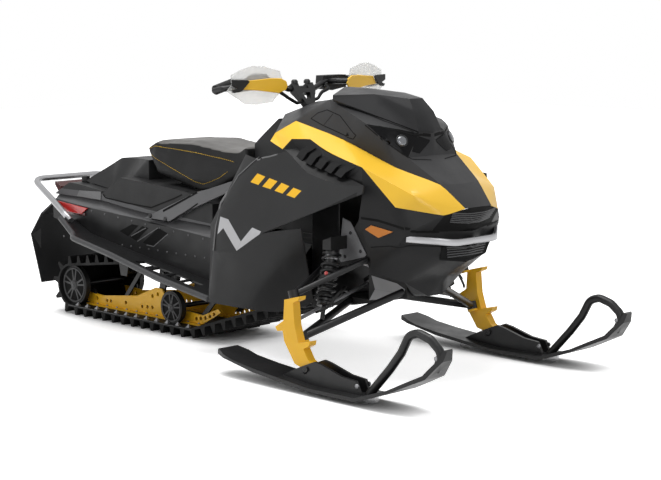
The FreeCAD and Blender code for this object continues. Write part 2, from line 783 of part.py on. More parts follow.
bosses = [upright("AnchorBoss", place, "Sizes.anchor_radius") for place in ANCHOR_SHARES]
holes = [upright("AnchorBore", place, "Sizes.anchor_bore") for place in ANCHOR_SHARES]
deck_stack = doc.addObject("Part::MultiFuse", "DeckStack")
deck_stack.Shapes = [tray, wing, hump]
anchor_stack = doc.addObject("Part::Compound", "AnchorBosses")
anchor_stack.Links = bosses
anchor_bores = doc.addObject("Part::Compound", "AnchorBores")
anchor_bores.Links = holes
anchors = doc.addObject("Part::Cut", "Anchors")
anchors.Base = anchor_stack
anchors.Tool = anchor_bores
group("cargo_anchors", [anchors])
SEAT_SHARES = ((-0.592, 0.752), (-0.535, 0.781), (-0.315, 0.790), (-0.124, 0.768),
               (-0.039, 0.765), (0.020, 0.790), (0.020, 0.700), (-0.188, 0.604),
               (-0.267, 0.600), (-0.524, 0.653), (-0.568, 0.712))
TANK_SHARES = ((0.020, 0.800), (0.045, 0.822), (0.157, 0.905), (0.250, 0.800),
               (0.350, 0.640), (0.350, 0.480), (-0.060, 0.480), (-0.129, 0.560),
               (-0.188, 0.604), (0.020, 0.700))
seat = prism("SeatBlock", "XZ", [SEAT_SHARES], "Sizes.seat_half_width * 2")
deck_cut = doc.addObject("Part::Cut", "DeckCut")
deck_cut.Base = deck_stack
deck_cut.Tool = seat
group("rear_deck", [deck_cut])
group("seat", [seat])
group("tank_cover", [prism("TankBlock", "XZ", [TANK_SHARES], "Sizes.seat_half_width * 1.5")])

STRUT_SHARES = (
    (-0.533, 0.472),
    (-0.202, 0.604),
    (-0.135, 0.620),
    (0.140, 0.700),
    (0.140, 0.676),
    (-0.114, 0.578),
    (-0.232, 0.533),
    (-0.371, 0.470),
)
strut = prism("Strut", "XZ", [STRUT_SHARES], "Sizes.strut_width",
              "Sizes.deck_half_width + Sizes.strut_width / 2")
pair("seat_struts", [strut])

# The engine, one block under the hood with a slot for the steering post, and the bulkhead.
ENGINE_SHARES = ((0.410, 0.262), (0.490, 0.262), (0.490, 0.400), (0.555, 0.440),
                 (0.555, 0.640), (0.410, 0.640))
SLOT_SHARES = ((0.380, 0.650), (0.500, 0.400), (0.600, 0.400), (0.600, 0.700), (0.380, 0.700))
engine = doc.addObject("Part::Cut", "Engine")
engine.Base = prism("EngineBlock", "XZ", [ENGINE_SHARES], "Sizes.tunnel_half_width * 1.8")
engine.Tool = prism("PostSlot", "XZ", [SLOT_SHARES], "Sizes.post_radius * 4")
group("engine_block", [engine])
BULKHEAD_SHARES = ((0.406, 0.215), (0.406, 0.262), (0.625, 0.262), (0.625, 0.385),
                   (0.592, 0.390), (0.592, 0.440), (0.760, 0.440), (0.8148, 0.330),
                   (0.8148, 0.290), (0.560, 0.235))
core = prism("BulkheadCore", "XZ", [BULKHEAD_SHARES], "Sizes.tunnel_half_width")
TOWER_SHARES = ((0.512, 0.385), (0.512, 0.425), (0.590, 0.500), (0.640, 0.520), (0.700, 0.600),
                (0.800, 0.440), (0.780, 0.395), (0.700, 0.410))
tower = prism("Tower", "XZ", [TOWER_SHARES], "Sizes.sheet_thickness * 3",
              "Sizes.tunnel_half_width")
FLOOR_SHARES = ((0.592, 0.440), (0.592, 0.448), (0.770, 0.448), (0.770, 0.440))
tower_floor = prism("TowerFloor", "XZ", [FLOOR_SHARES], "Sizes.tunnel_half_width * 2")
bulkhead = doc.addObject("Part::MultiFuse", "BulkheadWhole")
POST_LOW_SHARE = (0.589, 0.0, 0.345)
POST_TOP_SHARE = (0.171, 0.0, 1.010)
post_low, post_top = at(POST_LOW_SHARE), at(POST_TOP_SHARE)
post_way = (post_top - post_low).normalize()
post_seat = fixed(rod_shape(post_low - post_way * VALUE["seat_gap"],
                            post_low - post_way * (VALUE["post_radius"] * 3),
                            VALUE["post_radius"] * 1.4), "PostSeat")
bulkhead.Shapes = [core, tower, mirrored(tower), tower_floor, post_seat]
SHOCK_LOW_SHARE = (0.632, 0.350, 0.222)
SHOCK_TOP_SHARE = (0.600, 0.057, 0.470)
HEAD_SHARES = ((0.580, 0.462), (0.580, 0.496), (0.622, 0.510), (0.622, 0.462))
FRONT_BUMPER_SHARES = (
    (0.920, -0.262, 0.531),
    (1.046, -0.108, 0.513),
    (1.046, 0.108, 0.513),
    (0.920, 0.262, 0.531),
)
front_loop = tube(FRONT_BUMPER_SHARES, VALUE["bumper_tube_radius"], bumper_bend)
front_loop.Shape = largest(front_loop.Shape.cut(belly.Shape))
group("front_bumper", [front_loop])

# The track: one closed loop with its lugs in the outline.
SPROCKET_SHARE = (0.250, 0.300)
IDLER_X_SHARE = -1.0935
ramp_start_share = -0.300
ARC_STEPS = 18


def loop_points():
    """Centres, radii and the straight contact points of the inner belt line."""
    high = VALUE["height_module"]
    far = VALUE["length_module"]
    floor = VALUE["lug_height"] + VALUE["belt_thickness"]
    idler = V(IDLER_X_SHARE * far, 0, floor + VALUE["rear_idler_radius"])
    wheel = V(SPROCKET_SHARE[0] * far, 0, SPROCKET_SHARE[1] * high)
    return idler, wheel, floor


def tangent(centre, radius, spot, side):
    """The point where a line from a spot touches a circle on the asked side."""
    to_spot = spot - centre
    angle = math.atan2(to_spot.z, to_spot.x)
    spread = math.acos(radius / to_spot.Length)
    turn = angle + side * spread
    return centre + V(math.cos(turn), 0, math.sin(turn)) * radius


def arc_points(centre, radius, begin, end):
    """Corners of an outline that touches a circle from outside, turning backwards in angle."""
    while end > begin:
        end -= 2 * math.pi
    steps = max(2, int(ARC_STEPS * (begin - end) / math.pi))
    step = (begin - end) / steps
    far = radius / math.cos(step / 2)
    spots = []
    for index in range(steps):
        turn = begin - step * (index + 0.5)
        spots.append(centre + V(math.cos(turn), 0, math.sin(turn)) * far)
    return spots


def inner_line():
    """The inner belt line: bottom run, ramp, sprocket, top run, rear idler."""
    idler, wheel, floor = loop_points()
    ramp = V(ramp_start_share * VALUE["length_module"], 0, floor)
    low = tangent(wheel, VALUE["sprocket_radius"], ramp, 1)
    first = math.atan2(low.z - wheel.z, low.x - wheel.x)
    run = wheel - idler
    lean = math.atan2(run.z, run.x)
    extra = math.asin((VALUE["sprocket_radius"] - VALUE["rear_idler_radius"]) / run.Length)
    top = lean + math.pi / 2 - extra
    spots = [V(idler.x, 0, floor), ramp, low]
    spots += reversed(arc_points(wheel, VALUE["sprocket_radius"], top, first))
    spots.append(wheel + V(math.cos(top), 0, math.sin(top)) * VALUE["sprocket_radius"])
    spots.append(idler + V(math.cos(top), 0, math.sin(top)) * VALUE["rear_idler_radius"])
    spots += reversed(arc_points(idler, VALUE["rear_idler_radius"], -math.pi / 2, top))
    return spots


def walk(spots, distance):
    """The place and outward direction at a distance along a closed line."""
    count = len(spots)
    index = 0
    while True:
        begin = spots[index % count]
        end = spots[(index + 1) % count]
        run = end - begin
        if distance <= run.Length or index > 3 * count:
            along = run.normalize()
            return begin + along * distance, V(along.z, 0, -along.x)
        distance -= run.Length
        index += 1


def offset_line(spots, depth):
    """The line moved outward by a depth, corner by corner."""
    moved = []
    count = len(spots)
    for index, spot in enumerate(spots):
        before = (spot - spots[index - 1]).normalize()
        after = (spots[(index + 1) % count] - spot).normalize()
        one = V(before.z, 0, -before.x)
        two = V(after.z, 0, -after.x)
        middle = (one + two).normalize()
        moved.append(spot + middle * (depth / middle.dot(one)))
    return moved


def closed_wire(spots):
    """A closed line through its corners."""
    return Part.makePolygon(list(spots) + [spots[0]])


LUG_SHARES = ((-0.24, 0.0), (-0.12, 1.0), (0.06, 1.0), (0.20, 0.0))
BAND_SHARES = ((-0.5, -0.34, 0.0), (-0.34, -0.12, 0.5), (-0.12, 0.12, 0.0),
               (0.12, 0.34, 0.5), (0.34, 0.5, 0.0))


def band_shape(start, end, phase):
    """One band of the track: belt and lugs as a single toothed ring, across its width."""
    inner = inner_line()
    outer = offset_line(inner, VALUE["belt_thickness"])
    length = sum((b - a).Length for a, b in zip(outer, outer[1:] + outer[:1]))
    pitch = length / VALUE["lug_count"]
    cuts = []
    travelled = 0
    corners = []
    for one, two in zip(outer, outer[1:] + outer[:1]):
        corners.append((travelled, one))
        travelled += (two - one).Length
    teeth = []
    for number in range(VALUE["lug_count"]):
        middle = pitch * (number + 0.5 + phase)
        teeth.append(middle)
    line = []
    for where, spot in corners:
        near = min(abs((where - tooth + length / 2) % length - length / 2) for tooth in teeth)
        if near > LUG_REACH_SHARE * pitch:
            line.append((where, spot))
    for tooth in teeth:
        base, outward = walk(outer, tooth % length)
        for along, rise in LUG_SHARES:
            spot, _ = walk(outer, (tooth + along * pitch) % length)
            if rise:
                spot = base + outward * (rise * VALUE["lug_height"])
                way = V(-outward.z, 0, outward.x)
                spot = spot + way * (along * pitch)
            line.append(((tooth + along * pitch) % length, spot))
    line.sort(key=lambda pair_of: pair_of[0])
    face = Part.Face([closed_wire([spot for _, spot in line]), closed_wire(inner)])
    face.validate()
    width = VALUE["track_width"]
    face.translate(V(0, start * width, 0))
    return face.extrude(V(0, (end - start) * width, 0))


LUG_REACH_SHARE = 0.26
group("track", [fixed(band_shape(*share), "TrackBand") for share in BAND_SHARES])

# Inside the track: sprocket axle, rails, wheels, arms and shocks of the skid.
WHEEL_HUB_SHARE = 0.30
RIM_SHARE = 0.80
SPOKE_SHARE = 0.16


def wheel_body(name, x, y, z, radius, width):
    """A spoked wheel turned from a section and opened between its spokes."""
    disc = doc.addObject("Part::Cylinder", name + "Disc")
    bind(disc, Radius=radius, Height=width)
    bore = doc.addObject("Part::Cylinder", name + "Bore")
    bind(bore, Radius="Sizes.axle_radius + Sizes.seat_gap", Height=width)
    rim = doc.addObject("Part::Cylinder", name + "Rim")
    bind(rim, Radius="(%s) * %s" % (radius, RIM_SHARE), Height=width)
    hub = doc.addObject("Part::Cylinder", name + "Hub")
    bind(hub, Radius="(%s) * %s" % (radius, WHEEL_HUB_SHARE), Height=width)
    ring = doc.addObject("Part::Cut", name + "Ring")
    ring.Base = disc
    ring.Tool = rim
    spokes = []
    for turn in (0, 1, 2):
        spoke = doc.addObject("Part::Box", name + "Spoke")
        bind(spoke, Length="(%s) * %s" % (radius, 2 * RIM_SHARE + 0.1),
             Width="(%s) * %s" % (radius, SPOKE_SHARE), Height="(%s) * 0.6" % width)
        spoke.Placement.Rotation = FreeCAD.Rotation(V(0, 0, 1), 60 * turn)
        bind(spoke, Placement__Base__x="-(%s) * %s * %s + (%s) * %s * %s" % (
            radius, RIM_SHARE + 0.05, round(math.cos(math.pi / 3 * turn), 6),
            radius, SPOKE_SHARE / 2, round(math.sin(math.pi / 3 * turn), 6)),
             Placement__Base__y="-(%s) * %s * %s - (%s) * %s * %s" % (
            radius, RIM_SHARE + 0.05, round(math.sin(math.pi / 3 * turn), 6),
            radius, SPOKE_SHARE / 2, round(math.cos(math.pi / 3 * turn), 6)),
             Placement__Base__z="(%s) * 0.2" % width)
        spokes.append(spoke)
    star = doc.addObject("Part::MultiFuse", name + "Star")
    star.Shapes = [ring, hub] + spokes
    whole = doc.addObject("Part::Cut", name)
    whole.Base = star
    whole.Tool = bore
    whole.Placement.Rotation = FreeCAD.Rotation(V(1, 0, 0), 90)
    bind(whole, Placement__Base__x=x, Placement__Base__y="(%s) + (%s) / 2" % (y, width),
         Placement__Base__z=z)
    return whole


def axle(name, x, z, half, radius="Sizes.axle_radius"):
    """A round bar across the vehicle."""
    bar = doc.addObject("Part::Cylinder", name)
    bind(bar, Radius=radius, Height="(%s) * 2" % half)
    bar.Placement.Rotation = FreeCAD.Rotation(V(1, 0, 0), 90)
    bind(bar, Placement__Base__x=x, Placement__Base__y=half, Placement__Base__z=z)
    return bar


def long(share):
    """A place along the vehicle as a sheet expression."""
    return "Sizes.length_module * %s" % share


def tall(share):
    """A height as a sheet expression."""
    return "Sizes.height_module * %s" % share


FLOOR = "(Sizes.lug_height + Sizes.belt_thickness)"
SMALL_X_SHARE = -0.4375
CARRIER_X_SHARE = -0.550
idler_z = FLOOR + " + Sizes.rear_idler_radius"
small_z = FLOOR + " + Sizes.small_idler_radius"
idler_line = inner_line()
idler_centre, sprocket_centre, belt_floor = loop_points()
run_back = sprocket_centre - idler_centre
lean = math.atan2(run_back.z, run_back.x)
lean -= math.asin((VALUE["sprocket_radius"] - VALUE["rear_idler_radius"]) / run_back.Length) * -1
carrier_x = CARRIER_X_SHARE * VALUE["length_module"]
top_run = V(-math.sin(lean), 0, math.cos(lean))
belt_at = idler_centre + top_run * VALUE["rear_idler_radius"]
carrier_rise = (carrier_x - belt_at.x) * math.tan(lean) + belt_at.z
carrier_z = carrier_rise - VALUE["carrier_radius"] / math.cos(lean)

wheels = []
for side in (-1, 1):
    wheels.append(wheel_body("RearIdler", long(IDLER_X_SHARE),
                             "Sizes.idler_half_gauge * %d" % side, idler_z,
                             "Sizes.rear_idler_radius", "Sizes.idler_width"))
    wheels.append(wheel_body("SmallIdler", long(SMALL_X_SHARE),
                             "Sizes.idler_half_gauge * %d" % side, small_z,
                             "Sizes.small_idler_radius", "Sizes.idler_width"))
    carrier = Part.makeCylinder(VALUE["carrier_radius"], VALUE["idler_width"],
                                V(carrier_x, side * VALUE["carrier_half_gauge"]
                                  - VALUE["idler_width"] / 2, carrier_z), V(0, 1, 0))
    hole = Part.makeCylinder(VALUE["axle_radius"] + VALUE["seat_gap"], VALUE["idler_width"],
                             V(carrier_x, side * VALUE["carrier_half_gauge"]
                               - VALUE["idler_width"] / 2, carrier_z), V(0, 1, 0))
    wheels.append(fixed(carrier.cut(hole), "Carrier"))
group("idler_wheels", wheels)

RAIL_SHARES = ((-1.064, 0.050), (-1.075, 0.098), (-1.040, 0.098), (-0.960, 0.090),
               (-0.720, 0.118), (-0.600, 0.166), (-0.560, 0.166), (-0.500, 0.100),
               (-0.300, 0.086), (-0.205, 0.124), (-0.188, 0.112), (-0.240, 0.082),
               (-0.303, 0.050))
RAIL_HOLE_SHARES = ((-1.000, 0.074), (-0.930, 0.072), (-0.905, 0.072), (-0.800, 0.078),
                    (-0.690, 0.076), (-0.655, 0.078), (-0.622, 0.080), (-0.585, 0.140),
                    (-0.620, 0.128), (-0.545, 0.112), (-0.340, 0.068), (-0.312, 0.072),
                    (-0.284, 0.078), (-0.256, 0.088), (-0.230, 0.100))
rail_blank = prism("RailBlank", "XZ", [RAIL_SHARES], "Sizes.rail_web", "Sizes.rail_half_gauge")
drills = []
for hole_x, hole_z in RAIL_HOLE_SHARES:
    drill = doc.addObject("Part::Cylinder", "RailHole")
    bind(drill, Radius="Sizes.rail_hole_radius", Height="Sizes.rail_web * 3")
    drill.Placement.Rotation = FreeCAD.Rotation(V(1, 0, 0), 90)
    bind(drill, Placement__Base__x=long(hole_x), Placement__Base__z=tall(hole_z),
         Placement__Base__y="Sizes.rail_half_gauge + Sizes.rail_web * 1.5")
    drills.append(drill)
holes_in_rail = doc.addObject("Part::MultiFuse", "RailHoles")
holes_in_rail.Shapes = drills
rail = doc.addObject("Part::Cut", "Rail")
rail.Base = rail_blank
rail.Tool = holes_in_rail
SHOE_SHARES = ((-1.060, 0.042), (-1.060, 0.050), (-0.303, 0.050), (-0.303, 0.042))
shoe = prism("Slide", "XZ", [SHOE_SHARES], "Sizes.rail_base", "Sizes.rail_half_gauge")
pair("slide_rails", [rail, shoe])

gauge_half = "Sizes.idler_half_gauge + Sizes.idler_width / 2"
rear_axle = axle("RearAxle", long(IDLER_X_SHARE), idler_z, gauge_half)
small_axle = axle("SmallAxle", long(SMALL_X_SHARE), small_z, gauge_half)
carrier_bar = fixed(Part.makeCylinder(
    VALUE["axle_radius"], 2 * VALUE["rail_half_gauge"] + VALUE["rail_web"],
    V(carrier_x, -VALUE["rail_half_gauge"] - VALUE["rail_web"] / 2, carrier_z), V(0, 1, 0)),
    "CarrierAxle")
BRACKET_SHARES = ((-1.105, 0.112), (-1.105, 0.142), (-1.000, 0.110), (-1.000, 0.094))
bracket = prism("Bracket", "XZ", [BRACKET_SHARES], "Sizes.rail_web",
                "Sizes.rail_half_gauge + Sizes.rail_web")
CARRIER_ARM_SHARES = ((-0.590, 0.150), (-0.565, 0.235), (-0.535, 0.235), (-0.550, 0.150))
carrier_arm = prism("CarrierArm", "XZ", [CARRIER_ARM_SHARES], "Sizes.rail_web",
                    "Sizes.rail_half_gauge - Sizes.rail_web")
FRONT_ARM_SHARES = ((-0.330, 0.075), (-0.098, 0.306), (-0.076, 0.306), (-0.300, 0.075))
REAR_ARM_SHARES = ((-0.820, 0.105), (-0.705, 0.240), (-0.680, 0.240), (-0.795, 0.105))
DROP_SHARES = ((-0.712, 0.216), (-0.740, 0.350), (-0.640, 0.350), (-0.672, 0.216))
FRONT_PIVOT_SHARE = (-0.088, 0.296)
REAR_PIVOT_SHARE = (-0.692, 0.232)
front_arm = prism("FrontArm", "XZ", [FRONT_ARM_SHARES], "Sizes.rail_web",
                  "Sizes.rail_half_gauge - Sizes.rail_web")
rear_arm = prism("RearArm", "XZ", [REAR_ARM_SHARES], "Sizes.rail_web",
                 "Sizes.rail_half_gauge - Sizes.rail_web")
tunnel_half = "Sizes.tunnel_half_width - Sizes.sheet_thickness"
drop = prism("DropPlate", "XZ", [DROP_SHARES], "Sizes.sheet_thickness * 2",
             "Sizes.tunnel_half_width - Sizes.sheet_thickness * 2")
front_pivot = axle("FrontPivot", long(FRONT_PIVOT_SHARE[0]), tall(FRONT_PIVOT_SHARE[1]),
                   tunnel_half)
rear_pivot = axle("RearPivot", long(REAR_PIVOT_SHARE[0]), tall(REAR_PIVOT_SHARE[1]),
                  tunnel_half)
skid = doc.addObject("Part::MultiFuse", "SkidFrame")
skid.Shapes = [rear_axle, small_axle, carrier_bar, bracket, mirrored(bracket),
               carrier_arm, mirrored(carrier_arm), front_arm, mirrored(front_arm),
               rear_arm, mirrored(rear_arm), drop, mirrored(drop), front_pivot, rear_pivot]
group("skid_arms", [skid])

sprocket_bar = axle("SprocketBar", long(SPROCKET_SHARE[0]), tall(SPROCKET_SHARE[1]), tunnel_half)
sprockets = []
for side in (-1, 0, 1):
    drum = doc.addObject("Part::Cylinder", "Sprocket")
    bind(drum, Radius="Sizes.sprocket_radius", Height="Sizes.idler_width")
    drum.Placement.Rotation = FreeCAD.Rotation(V(1, 0, 0), 90)
    bind(drum, Placement__Base__x=long(SPROCKET_SHARE[0]),
         Placement__Base__y="Sizes.track_width * %s + Sizes.idler_width / 2" % (0.28 * side),
         Placement__Base__z=tall(SPROCKET_SHARE[1]))
    sprockets.append(drum)
drive = doc.addObject("Part::MultiFuse", "Drive")
drive.Shapes = [sprocket_bar] + sprockets
group("drive_axle", [drive])

# Front suspension: two A-arms a side, a damper and its spring.
def outboard(x, inset, z, side):
    """A place beside the spindle's inner face, one housing's radius away from it."""
    stance = (VALUE["ski_half_stance"] - VALUE["spindle_width"] / 2 - VALUE["seat_gap"]
              - VALUE["housing_radius"])
    return V(x * VALUE["length_module"], side * (stance - inset), z * VALUE["height_module"])


LOW_OUT_SHARE = (0.643, 0.175)
LOW_FRONT_SHARE = (0.792, 0.100, 0.310)
LOW_REAR_SHARE = (0.530, 0.100, 0.250)
HIGH_OUT_SHARE = (0.598, 0.320)
HIGH_FRONT_SHARE = (0.722, 0.212, 0.432)
HIGH_REAR_SHARE = (0.528, 0.212, 0.404)


def collar(centre, way, radius, height):
    """A short round body about a centre, its axis along the given way."""
    return Part.makeCylinder(radius, height, centre - way * (height / 2), way)


def arm_shape(outer, front, rear, radius):
    """A forked arm of two round bars that join at the ball joint's round housing."""
    return rod_shape(outer, front, radius).fuse(rod_shape(outer, rear, radius)).fuse(
        collar(outer, king_way, VALUE["housing_radius"], VALUE["housing_height"]))


king_way = (outboard(HIGH_OUT_SHARE[0], 0, HIGH_OUT_SHARE[1], 1)
            - outboard(LOW_OUT_SHARE[0], 0, LOW_OUT_SHARE[1], 1)).normalize()
COIL_RUN_SHARE = (0.30, 0.86)
COIL_TURNS = 6


def coil_shape(low, high):
    """A round wire wound about the way between two places."""
    way = high - low
    radius = VALUE["spring_radius"]
    helix = Part.makeHelix(way.Length / COIL_TURNS, way.Length, radius)
    section = Part.Wire([Part.makeCircle(VALUE["spring_wire"], V(radius, 0, 0), V(0, 1, 0))])
    coil = Part.Wire(helix.Edges).makePipeShell([section], True, True)
    coil.Placement = FreeCAD.Placement(low, FreeCAD.Rotation(V(0, 0, 1), way))
    return coil


arms = []
shocks = []
springs = []
for side in (-1, 1):
    low = outboard(LOW_OUT_SHARE[0], 0, LOW_OUT_SHARE[1], side)
    high = outboard(HIGH_OUT_SHARE[0], 0, HIGH_OUT_SHARE[1], side)
    ends = [at(share) for share in with_side((LOW_FRONT_SHARE, LOW_REAR_SHARE,
                                              HIGH_FRONT_SHARE, HIGH_REAR_SHARE), side)]
    arms.append(fixed(arm_shape(low, ends[0], ends[1], VALUE["arm_tube_radius"]), "LowerArm"))
    arms.append(fixed(arm_shape(high, ends[2], ends[3], VALUE["upper_tube_radius"]), "UpperArm"))
    foot = at(with_side([SHOCK_LOW_SHARE], side)[0])
    head = beside_tunnel(SHOCK_TOP_SHARE, side)
    way = (head - foot)
    up = V(way).normalize()
    coil_foot = foot + way * COIL_RUN_SHARE[0]
    coil_head = foot + way * COIL_RUN_SHARE[1]
    rest_on = VALUE["spring_wire"] + VALUE["seat_gap"] + VALUE["spring_seat"] / 2
    damper = rod_shape(foot, foot + way * 0.5, VALUE["shock_rod_radius"]).fuse(
        rod_shape(foot + way * 0.45, head, VALUE["shock_body_radius"]))
    for spot in (coil_foot - up * rest_on, coil_head + up * rest_on):
        damper = damper.fuse(collar(spot, up, VALUE["spring_radius"] + VALUE["spring_wire"],
                                    VALUE["spring_seat"]))
    shocks.append(fixed(damper, "Shock"))
    springs.append(fixed(coil_shape(coil_foot, coil_head), "Spring"))
group("shock_bodies", shocks)
group("shock_springs", springs)
heads = []
for side, damper in zip((-1, 1), shocks):
    head_block = prism("ShockHead", "XZ", [HEAD_SHARES], "Sizes.width_module * 0.086",
                       "(Sizes.tunnel_half_width + Sizes.sheet_thickness * 1.5"
                       " + Sizes.width_module * 0.043) * %d" % side)
    trimmed = doc.addObject("Part::Cut", "ShockSeat")
    trimmed.Base = head_block
    trimmed.Tool = damper
    heads.append(trimmed)
group("bulkhead", [bulkhead] + heads)
trimmed_arms = []
for arm in arms:
    fitted = doc.addObject("Part::Cut", "FittedArm")
    fitted.Base = arm
    fitted.Tool = bulkhead
    trimmed_arms.append(fitted)
group("suspension_arms", trimmed_arms)

# The steering turns about a raked post.
post_aft = V(-post_way.z, 0, post_way.x)
PITMAN_SHARE = 0.058
RISER_SHARE = 0.071
pitman_tip = post_low + post_aft * (PITMAN_SHARE * VALUE["length_module"])
post = rod_shape(post_low, post_top - post_way * (RISER_SHARE * VALUE["height_module"]),
                 VALUE["post_radius"])
pitman_wide = VALUE["pitman_half_gauge"] + VALUE["ball_radius"]
pitman = Part.makeBox(PITMAN_SHARE * VALUE["length_module"] + VALUE["ball_radius"],
                      2 * pitman_wide, VALUE["pitman_thickness"])
pitman.Placement = FreeCAD.Placement(post_low, FreeCAD.Rotation(
    post_aft, V(0, -1, 0), post_way, "XYZ")).multiply(
    FreeCAD.Placement(V(0, -pitman_wide, 0), FreeCAD.Rotation()))
clamp_size = VALUE["clamp_width"]
RISER_RING_SHARES = ((-0.022, -0.002), (-0.030, 0.020), (-0.056, 0.063), (-0.056, 0.094),
                     (-0.022, 0.094), (-0.022, 0.070), (0.022, 0.070), (0.022, 0.094),
                     (0.056, 0.094), (0.056, 0.063), (0.030, 0.020), (0.022, -0.002))
RISER_WINDOW_SHARES = ((-0.010, 0.020), (-0.022, 0.052), (0.022, 0.052), (0.010, 0.020))
riser_low = post_top - post_way * (RISER_SHARE * VALUE["height_module"])


def riser_plate(ring):
    """A plate across the post's way, its outline given across and along the post."""
    spots = [riser_low + V(0, y * VALUE["width_module"], 0)
             + post_way * (s * VALUE["height_module"]) - post_aft * (clamp_size / 2)
             for y, s in ring]
    return Part.Face(Part.makePolygon(spots + spots[:1])).extrude(post_aft * clamp_size)


riser = riser_plate(RISER_RING_SHARES).cut(riser_plate(RISER_WINDOW_SHARES))
BAR_SHARES = (
    (0.130, -0.405, 1.020),
    (0.125, -0.300, 1.046),
    (0.160, -0.130, 1.038),
    (0.166, -0.070, 1.014),
    (0.166, 0.070, 1.014),
    (0.160, 0.130, 1.038),
    (0.125, 0.300, 1.046),
    (0.130, 0.405, 1.020),
)
bar = tube_shape([at(share) for share in BAR_SHARES], VALUE["bar_radius"],
                 3 * VALUE["bar_radius"])
group("handlebar", [fixed(bar, "Bar")])
bar_room = tube_shape([at(share) for share in BAR_SHARES],
                      VALUE["bar_radius"] + VALUE["seat_gap"], 3 * VALUE["bar_radius"])
group("steering_post", [fixed(largest(post.fuse(pitman).fuse(riser).cut(bar_room)), "Post")])
LEFT_CONTROL_SHARES = ((0.115, 1.008), (0.114, 1.032), (0.117, 1.060), (0.177, 1.061),
                       (0.241, 1.061), (0.261, 1.046), (0.236, 1.034), (0.244, 1.014),
                       (0.167, 1.002))
RIGHT_CONTROL_SHARES = ((-0.262, 1.028), (-0.258, 1.052), (-0.240, 1.067), (-0.206, 1.075),
                        (-0.184, 1.074), (-0.163, 1.058), (-0.158, 1.022), (-0.200, 1.016))
LEVER_SHARES = ((0.152, 0.225, 1.026), (0.186, 0.262, 1.022), (0.186, 0.372, 1.014))
controls = []
housings = [prism("ControlHousing", "YZ", [ring], "Sizes.control_depth",
                  "Sizes.length_module * 0.146")
            for ring in (RIGHT_CONTROL_SHARES, LEFT_CONTROL_SHARES)]
doc.recompute()
for housing, side in zip(housings, (-1, 1)):
    lever = tube_shape([at(share) for share in with_side(LEVER_SHARES, side)],
                       VALUE["lever_radius"], 3 * VALUE["lever_radius"])
    controls.append(fixed(largest(housing.Shape.fuse(lever).cut(bar_room)), "Control"))
group("hand_controls", controls)
CABLE_SHARES = (
    ((0.150, -0.190, 1.040), (0.200, -0.165, 1.018), (0.205, -0.110, 0.985),
     (0.203, -0.060, 0.962), (0.198, -0.020, 0.967)),
    ((0.150, 0.130, 1.032), (0.200, 0.115, 1.012), (0.206, 0.070, 1.000),
     (0.203, 0.052, 0.976), (0.198, 0.020, 0.967)),
)
cables = []
for shares, held in zip(CABLE_SHARES, controls):
    cable = tube_shape([at(share) for share in shares], VALUE["cable_radius"],
                       6 * VALUE["cable_radius"])
    cables.append(fixed(largest(cable.cut(held.Shape).cut(riser).cut(bar_room)), "Cable"))
group("control_cables", cables)
GRIP_SHARES = ((0.1255, 0.318, 1.0417), (0.130, 0.405, 1.020))
grips = []
guards = []
shields = []
GUARD_SHARES = ((0.351, 1.023), (0.331, 1.055), (0.229, 1.062), (0.187, 1.061), (0.163, 1.050),
                (0.157, 1.031), (0.166, 1.016), (0.198, 1.006), (0.287, 1.018))
SHIELD_SHARES = ((0.398, 1.040), (0.398, 1.077), (0.354, 1.096), (0.308, 1.108),
                 (0.261, 1.107), (0.187, 1.088), (0.176, 1.057), (0.192, 1.003),
                 (0.219, 0.973), (0.288, 0.965), (0.340, 0.968), (0.417, 1.019))
GUARD_PLANE_SHARE = (0.250, 0.160)
GUARD_RAKE = 0.168


def raked_plate(shares, side, thickness, way):
    """A flat plate before the grip, swept back towards its outer end."""
    ring = [V((GUARD_PLANE_SHARE[0] - GUARD_RAKE * (y - GUARD_PLANE_SHARE[1]))
              * VALUE["length_module"], side * y * VALUE["width_module"],
              z * VALUE["height_module"]) for y, z in shares]
    normal = (ring[4] - ring[0]).cross(ring[8] - ring[0]).normalize()
    if normal.x * way < 0:
        normal = normal * -1
    return Part.Face(Part.makePolygon(ring + ring[:1])).extrude(normal * thickness)


for side in (-1, 1):
    inner_end, outer_end = (at(share) for share in with_side(GRIP_SHARES, side))
    grips.append(fixed(rod_shape(inner_end, outer_end, VALUE["grip_radius"]).cut(bar_room),
                       "Grip"))
    guards.append(fixed(raked_plate(GUARD_SHARES, side, VALUE["guard_thickness"], 1), "Guard"))
    shields.append(fixed(raked_plate(SHIELD_SHARES, side, VALUE["shield_thickness"], -1),
                         "Shield"))
group("grips", grips)
group("hand_guards", guards)
MOUNT_SHARES = (((0.131, 0.412, 1.018), (0.178, 0.412, 1.026), (0.222, 0.335, 1.034)),
                ((0.150, 0.150, 1.037), (0.210, 0.150, 1.040), (0.250, 0.170, 1.040)))
mounts = []
for side in (-1, 1):
    for run in MOUNT_SHARES:
        piece = tube_shape([at(share) for share in with_side(run, side)],
                           VALUE["bar_radius"], VALUE["bar_radius"])
        mounts.append(fixed(largest(piece.cut(bar)), "GuardMount"))
group("guard_shields", shields)
solids = guards + shields + grips + controls
for piece in mounts:
    for other in solids:
        piece.Shape = largest(piece.Shape.cut(other.Shape))
group("guard_mounts", mounts)

